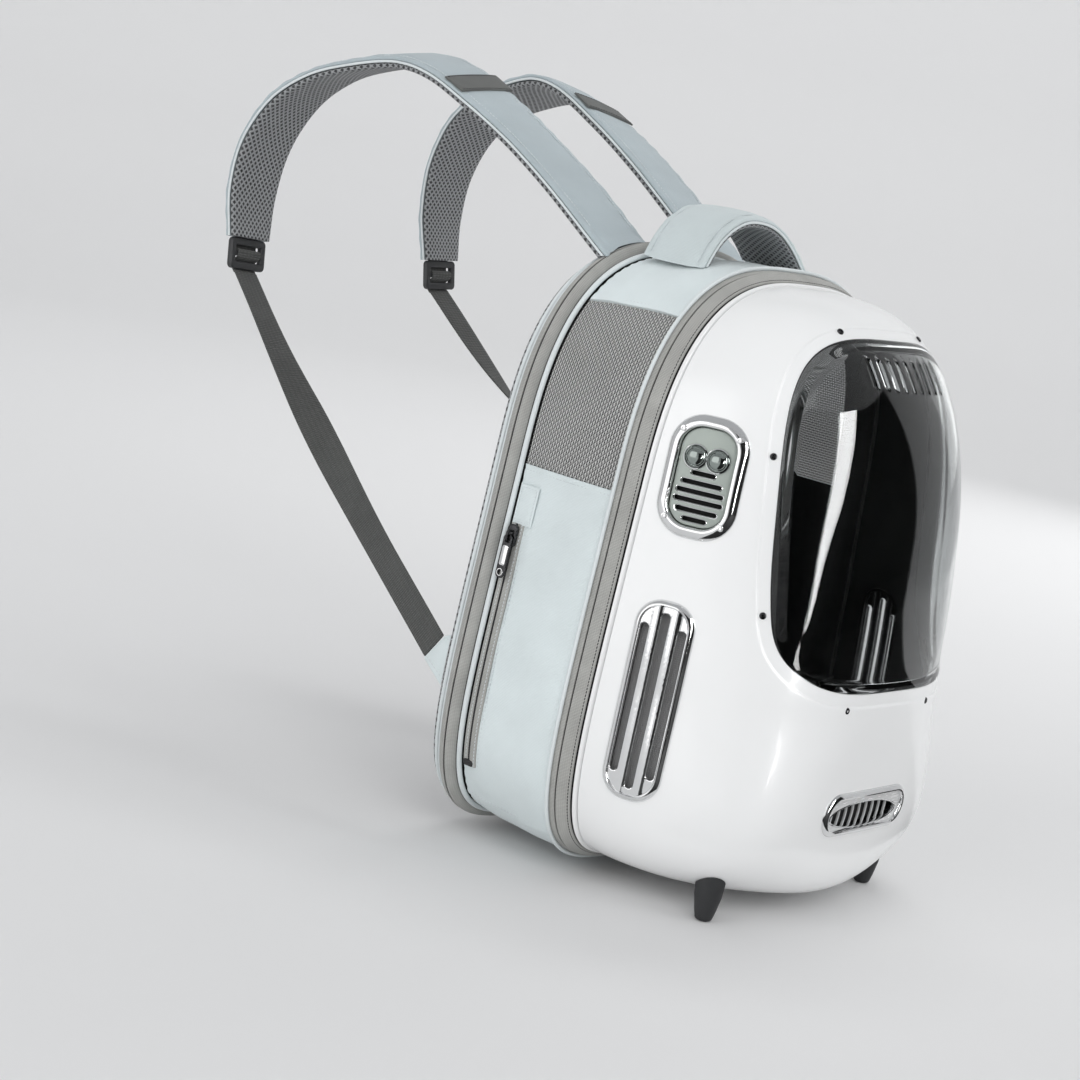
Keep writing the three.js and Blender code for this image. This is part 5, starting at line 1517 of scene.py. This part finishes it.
# How a padded band is built up; sewn is the stretch of the path that its stitches take
STRAP_BUILD = dict(cover=STRAP_COVER, pad=STRAP_PAD, pad_fill=0.7, crown=1.0, edge=0.1, seam=-1.25,
                   sewn=(0.07, 0.985))
HANDLE_BUILD = dict(cover=7.0, pad=4.5, pad_fill=0.6, crown=2.0, edge=0.2, seam=-1.75, sewn=(0.1, 0.9))
STRAP_NAMES = dict(cover="strap_", pad="strap_pad_", edge="strap_edge_", sewing="strap_stitches_")
HANDLE_NAMES = dict(cover="carry_handle", pad="carry_handle_pad", edge="handle_edge",
                    sewing="handle_stitches")
HANDLE_STATIONS = 140
TOP_VOLUME = [(-125, 3.2), (-10, 3.2)]
REAR_VOLUME = [(-80, 5.5), (-9, 5.5), (-4.6, 3.5), (-0.4, -1.5), (0.2, -4.0), (7.5, -4.0), (11.5, -9.5),
               (12.5, -19.5)]


def ring_volume(rows):
    """Solid inside rings of (y, height) pairs round the body, to cut pieces with."""
    build = Builder()
    build.tube([on_body(shares(240), y, height) for y, height in rows])
    return build.make("cutter", [LOOKS["lining"]])


def padded_band(path, sizes, names, look, cut, mirrored=False):
    """Cover, pad, two bound edges and two rows of stitches along a path.

    The cover, the pad and the edges are cut off at the ring volume cut.
    """
    cover, low = sizes["cover"], -sizes["cover"] - sizes["pad"]
    rows = path.band(*cushion_section(path, -cover, 0, sizes["crown"], dips=0.9))
    obj = lofted(rows, names["cover"], [look], "cloth", mirrored=mirrored, cut=cut)
    w, h = cushion_section(path, low, -cover - 0.3, 0.0)
    obj = lofted(path.band(w * 0.985, h), names["pad"], ["air_mesh"], "air_mesh", mirrored=mirrored, cut=cut)
    angle = turns(8)
    for side in (-1, 1):
        w = side * (path.width[:, None] / 2 - 0.2) + EDGE_CORD * np.cos(angle)
        h = np.broadcast_to(-cover + sizes["edge"] + EDGE_CORD * 1.2 * np.sin(angle), w.shape)
        name = names["edge"] + ("_b" if side > 0 else "_a")
        lofted(path.band(w, h), name, ["piping"], "piping", nodes=(), mirrored=mirrored, cut=cut)
    sewing = Builder()
    inside = (path.share > sizes["sewn"][0]) & (path.share < sizes["sewn"][1])
    for side in (-1, 1):
        w = (side * (path.width / 2 - 6))[:, None]
        line = path.band(w, np.full_like(w, sizes["seam"]))[:, 0]
        stitches(sewing, line[inside], path.normal[inside], **STITCH)
    finished(sewing, names["sewing"], ["thread"], "piping", (), mirrored=mirrored)


def strap(name, mirrored):
    """Padded upper part of a shoulder strap."""
    names = {key: label + name for key, label in STRAP_NAMES.items()}
    padded_band(STRAP, STRAP_BUILD, names, "strap_cloth", REAR_VOLUME, mirrored)


def strap_band(name, mirrored):
    """Band sewn across the strap."""
    fine = Path([row[:3] for row in STRAP_PATH], 1200, strap_across, [row[3] for row in STRAP_PATH])
    rows = np.flatnonzero((fine.share >= STRAP_BAND[0]) & (fine.share <= STRAP_BAND[1]))
    s = np.linspace(-1, 1, 17)
    half = (fine.width / 2 - 0.4)[:, None]
    low = 0.1 - 1.0 * s**2
    w = np.concatenate([s, s[::-1]]) * half
    h = np.broadcast_to(np.concatenate([low + 1.6 - 0.2 * s**8, low[::-1]]), w.shape)
    build = Builder()
    build.tube(fine.band(w, h)[rows])
    for row in (rows[3], rows[-4]):
        line = fine.band(s[None] * half * 0.96, np.broadcast_to(low + 1.7, (len(half), len(s))))[row]
        stitches(build, line, fine.normal[row], **BAND_STITCH, kind=1)
    finished(build, "strap_band_" + name, ["band", "coil"], "webbing", mirrored=mirrored)


ADJUSTER_MIDDLE = ADJUSTER["length"] / 2 + 0.5
ADJUSTER_PATCH = Patch(STRAP.point[-1] - STRAP.normal[-1] * STRAP_COVER, STRAP.across[-1], STRAP.tangent[-1],
                       STRAP.normal[-1])
TAB_TIP = np.array([STRAP_TAB["x"], STRAP_TAB["tip_y"], STRAP_TAB["tip_z"]], float)
WEB_START = ADJUSTER_PATCH.flat(0, ADJUSTER_MIDDLE + ADJUSTER["length"] / 2 + WEBBING["start_gap"], 0)
WEB_WAY = unit(WEB_START - TAB_TIP)


def adjuster(name, mirrored):
    """Two-slot buckle with the loops of webbing that run through it."""
    outline = contour(ADJUSTER["width"] / 2, ADJUSTER["length"] / 2, 4, (0, ADJUSTER_MIDDLE))[0]
    offset = (ADJUSTER["slot_length"] + ADJUSTER["bar"]) / 2
    slots = [contour(ADJUSTER["slot_width"] / 2, ADJUSTER["slot_length"] / 2, 1.2,
                     (0, ADJUSTER_MIDDLE + side * offset))[0] for side in (-1, 1)]
    build = Builder()
    half = ADJUSTER["thickness"] / 2
    plate(build, [outline, *slots], -half, half, ADJUSTER_PATCH.flat, 1.1)
    inner, outer = ADJUSTER_MIDDLE - offset, ADJUSTER_MIDDLE + offset
    end = ADJUSTER_MIDDLE + ADJUSTER["length"] / 2
    sewn_loop = [(-9.5, 0.9), (-2, 1.2), (2, 2.2), (inner - 1, 3.4), (inner + 1, 2.6), (inner + 1.6, -1.0)]
    running_loop = [(inner + 1.6, -1.6), (inner + 2.4, -3.4), (ADJUSTER_MIDDLE, -3.7), (outer - 1.6, -2.6),
                    (outer, 0.4), (outer + 2, 3.2), (end - 1, 3.3), (end + 1.0, 1.4),
                    (end + WEBBING["start_gap"] + 0.8, 0.1)]
    for line, half_width in ((sewn_loop, ADJUSTER["loop_half"]), (running_loop, WEBBING["width"] / 2)):
        middle = np.array(line)
        way = unit(np.gradient(middle, axis=0))
        off = ADJUSTER["loop_wall"] * np.stack([-way[:, 1], way[:, 0]], 1)
        low, high = middle - off, middle + off
        side = np.array([-1, 1, 1, -1]) * half_width
        ribbon = [ADJUSTER_PATCH.flat(side, [a[0], a[0], b[0], b[0]], [a[1], a[1], b[1], b[1]])
                  for a, b in zip(low, high)]
        build.tube(ribbon, kind=1)
    finished(build, "adjuster_" + name, ["plastic", "webbing"], "plastic", mirrored=mirrored)


def webbing(name, mirrored):
    """Lower strap from the buckle to the tab; it turns on its way from flat to upright."""
    end = TAB_TIP + WEB_WAY * WEBBING["end_gap"]
    lower = end + (WEB_START - end) * 0.35 + [-2, 0, -WEBBING["sag"]]
    upper = end + (WEB_START - end) * 0.75 + [0, 2, -WEBBING["sag"]]
    standing = np.array([0, -WEB_WAY[2], WEB_WAY[1]])

    def turn(path):
        share = smooth(path.share, 0.05, 0.8)[:, None]
        return STRAP.across[-1] * (1 - share) + standing * share

    path = Path([WEB_START, upper, lower, end], 160, turn)
    s = np.linspace(-1, 1, 9)
    w = np.concatenate([s, s[::-1]]) * WEBBING["width"] / 2
    upper_face = WEBBING["thickness"] / 2 - 0.3 * s**6
    h = np.concatenate([upper_face, -upper_face])
    shape = (len(path.share), len(w))
    rows = path.band(np.broadcast_to(w, shape), np.broadcast_to(h, shape))
    lofted(rows, "webbing_" + name, ["webbing"], "webbing", mirrored=mirrored)


def strap_tab(name, mirrored):
    """Sewn triangle of cloth that holds the end of the webbing."""
    slope = np.array([-WEB_WAY[2], WEB_WAY[1]]) * STRAP_TAB["tip_width"] / 2
    tip = np.array([STRAP_TAB["tip_y"], STRAP_TAB["tip_z"]])
    low = np.array([(STRAP_TAB["root_y"], STRAP_TAB["low"]), tip - slope])
    high = np.array([(STRAP_TAB["root_y"], STRAP_TAB["high"]), tip + slope])
    t, s = np.meshgrid(np.linspace(0, 1, 24), np.linspace(0, 1, 18), indexing="ij")
    lower = low[0] + (low[1] - low[0]) * t[..., None]
    upper = high[0] + (high[1] - high[0]) * t[..., None]
    yz = lower + (upper - lower) * s[..., None]
    edge = np.minimum(np.minimum(s, 1 - s) * np.linalg.norm(upper - lower, axis=-1), 40 * (1 - t))
    seam = np.exp(-(((edge - 3.5) / 0.9) ** 2))
    puff = STRAP_TAB["thickness"] / 2 * (0.55 + 0.45 * smooth(edge, 0, 2)) - 0.35 * seam
    outer = np.dstack([STRAP_TAB["x"] - puff, yz])
    inner = np.dstack([STRAP_TAB["x"] + puff, yz])
    rows = np.concatenate([outer, inner[:, ::-1]], 1)
    obj = lofted(rows, "strap_tab_" + name, ["cloth"], "cloth", mirrored=mirrored, cut=REAR_VOLUME)
    sewing = Builder()
    for side in (0.12, 0.88):
        line = lower[:, 0] + (upper[:, 0] - lower[:, 0]) * side
        for face in (-1, 1):
            path = np.column_stack([np.full(24, STRAP_TAB["x"] + face * 1.05), line])[8:]
            stitches(sewing, path, np.array([face, 0, 0.0]), **STITCH)
    finished(sewing, "strap_tab_stitches_" + name, ["thread"], "piping", (), mirrored=mirrored)


def handle():
    """Carry handle over the top of the gusset."""
    def forward(path):
        return np.tile([0.0, -1.0, 0.0], (HANDLE_STATIONS, 1))

    points = [(x, HANDLE["y"], z) for x, z in HANDLE_PATH]
    path = Path(points, HANDLE_STATIONS, forward, [HANDLE["width"]] * len(points))
    # The cover takes the darker copy of the side cloth, painted shade on the handle's top
    padded_band(path, HANDLE_BUILD, HANDLE_NAMES, "shaded_handle_cloth", TOP_VOLUME)


for label, way in LEFT_RIGHT:
    strap(label, way < 0)
    strap_band(label, way < 0)
    adjuster(label, way < 0)
    webbing(label, way < 0)
    strap_tab(label, way < 0)
handle()


# Camera, floor and light

CAMERA_AT = (-1.59530, -1.13873, 0.30298)
CAMERA_RIGHT = Vector((0.61573, -0.76438, 0.19129))
CAMERA_UP = Vector((0.01567, 0.25460, 0.96692))
CAMERA_LENS, CAMERA_SENSOR = 81.6, 36
FLOOR_Z = -0.2462
# Radius and height of the floor and its wall, in metres
FLOOR_PROFILE = [(0.0005, 0), (1.5, 0), (3.2, 0), (3.6, 0.03), (4.0, 0.14), (4.4, 0.38), (4.7, 0.8),
                 (4.85, 1.4), (4.9, 5.0)]
# Softboxes: name, place, what they face, size, watts, and whether they show in reflections
SOFTBOXES = [
    ("key", (-2.1, -2.7, 2.0), (0, -0.1, 0.05), (2.4, 2.4), 39, False),
    ("front", (1.5, -3.0, 0.9), (0, -0.1, 0), (2.0, 2.0), 20, False),
    ("fill", (-3.2, 0.3, 1.05), (0, 0.3, 1.05), (2.6, 2.2), 36, True),
    ("side", (2.6, 0.1, 0.9), (0, 0, 0.05), (1.6, 1.6), 10, False),
    ("wall", (1.2, 0.6, 3.4), (3.6, 2.6, 0.4), (2.0, 2.0), 50, False),
]
# Black cove before the bag: radius and height
COVE = [(0.36, -0.2455), (1.2, -0.2455), (2.2, -0.2455), (2.35, -0.1), (2.35, 1.6)]
# Bright strip that the pane reflects: pairs of azimuth and elevation as seen from the pane
PANE_MIDDLE = np.array([-0.093, -0.257, 0.065])
STRIP = [[(-88, 36.6), (-69, 36.6)], [(-105, 9.0), (-94, 9.5)], [(-113, -6.0), (-111, -6.0)]]
STRIP_REACH = 1.9


def camera():
    """Camera of the photo."""
    data = bpy.data.cameras.new("camera")
    data.lens = CAMERA_LENS
    data.sensor_width = CAMERA_SENSOR
    data.clip_end = 60
    obj = bpy.data.objects.new("camera", data)
    back = CAMERA_RIGHT.cross(CAMERA_UP).normalized()
    turn = Matrix((CAMERA_RIGHT.normalized(), back.cross(CAMERA_RIGHT).normalized(), back)).transposed()
    obj.matrix_world = Matrix.Translation(CAMERA_AT) @ turn.to_4x4()
    SCENE.collection.objects.link(obj)
    SCENE.camera = obj


def turned_row(radius, height, turn):
    """Points on a level arc about the frame's upright axis; the sizes are in metres."""
    row = np.column_stack([radius * np.cos(turn), radius * np.sin(turn), np.full(len(turn), height)])
    return row / MM - FRAME_SHIFT


def backdrop():
    """Round pale floor that curves up into a wall on every side."""
    build = Builder()
    build.grid([turned_row(r, h + FLOOR_Z, turns(96)) for r, h in FLOOR_PROFILE], around=True)
    look = Look("floor", (0.80, 0.80, 0.80), 0.7, Specular_IOR_Level=0.0)
    look.tint(look.noise(0.8, 3), (0.78, 0.78, 0.785), (0.80, 0.80, 0.80))
    obj = build.make("floor", [look.material])
    obj.data.flip_normals()


def softbox(name, at, toward, size, power, glossy):
    """Area light that the camera doesn't see."""
    data = bpy.data.lights.new(name, "AREA")
    data.shape = "RECTANGLE"
    data.size, data.size_y = size
    data.energy = power
    obj = bpy.data.objects.new(name, data)
    way = Vector(toward) - Vector(at)
    obj.matrix_world = Matrix.Translation(at) @ way.to_track_quat("-Z", "Y").to_matrix().to_4x4()
    SCENE.collection.objects.link(obj)
    obj.visible_camera = False
    obj.visible_glossy = glossy


def card(name, rows, look):
    """Studio card, from rows of points, that shows in reflections alone."""
    build = Builder()
    build.grid(rows)
    obj = build.make(name, [look])
    obj.visible_camera = False
    obj.visible_diffuse = False
    obj.visible_shadow = False


def heading(azimuth, elevation):
    """Direction of an azimuth, from x toward y, and an elevation in degrees."""
    a, e = np.radians(azimuth), np.radians(elevation)
    return np.array([np.cos(a) * np.cos(e), np.sin(a) * np.cos(e), np.sin(e)])


def lights():
    """World light, softboxes, and cards for the reflections."""
    world = bpy.data.worlds.new("studio")
    SCENE.world = world
    world.use_nodes = True
    ground = world.node_tree.nodes["Background"]
    ground.inputs["Color"].default_value = (0.96, 0.98, 1.0, 1)
    ground.inputs["Strength"].default_value = 0.46
    for row in SOFTBOXES:
        softbox(*row)
    turn = np.radians(np.linspace(-142, -40, 25))
    card("black_card", [turned_row(r, z, turn) for r, z in COVE], LOOKS["void"])
    strip, white = Look("strip", (0, 0, 0), 1.0), Look("white_card", (0, 0, 0), 1.0)
    strip.set(Emission_Color=(1, 1, 1, 1), Emission_Strength=14)
    white.set(Emission_Color=(1, 1, 1, 1), Emission_Strength=1.4)
    wall = [[(-2.4, y, z) for y in (-1.0, 1.8)] for z in (-0.24, 1.7)]
    card("white_card", np.asarray(wall) / MM - FRAME_SHIFT, white.material)
    rows = [[PANE_MIDDLE + STRIP_REACH * heading(*c) for c in row] for row in STRIP]
    card("strip_card", np.asarray(rows) / MM - FRAME_SHIFT, strip.material)
    SCENE.view_settings.view_transform = "Standard"
    SCENE.view_settings.look = "None"


camera()
backdrop()
lights()
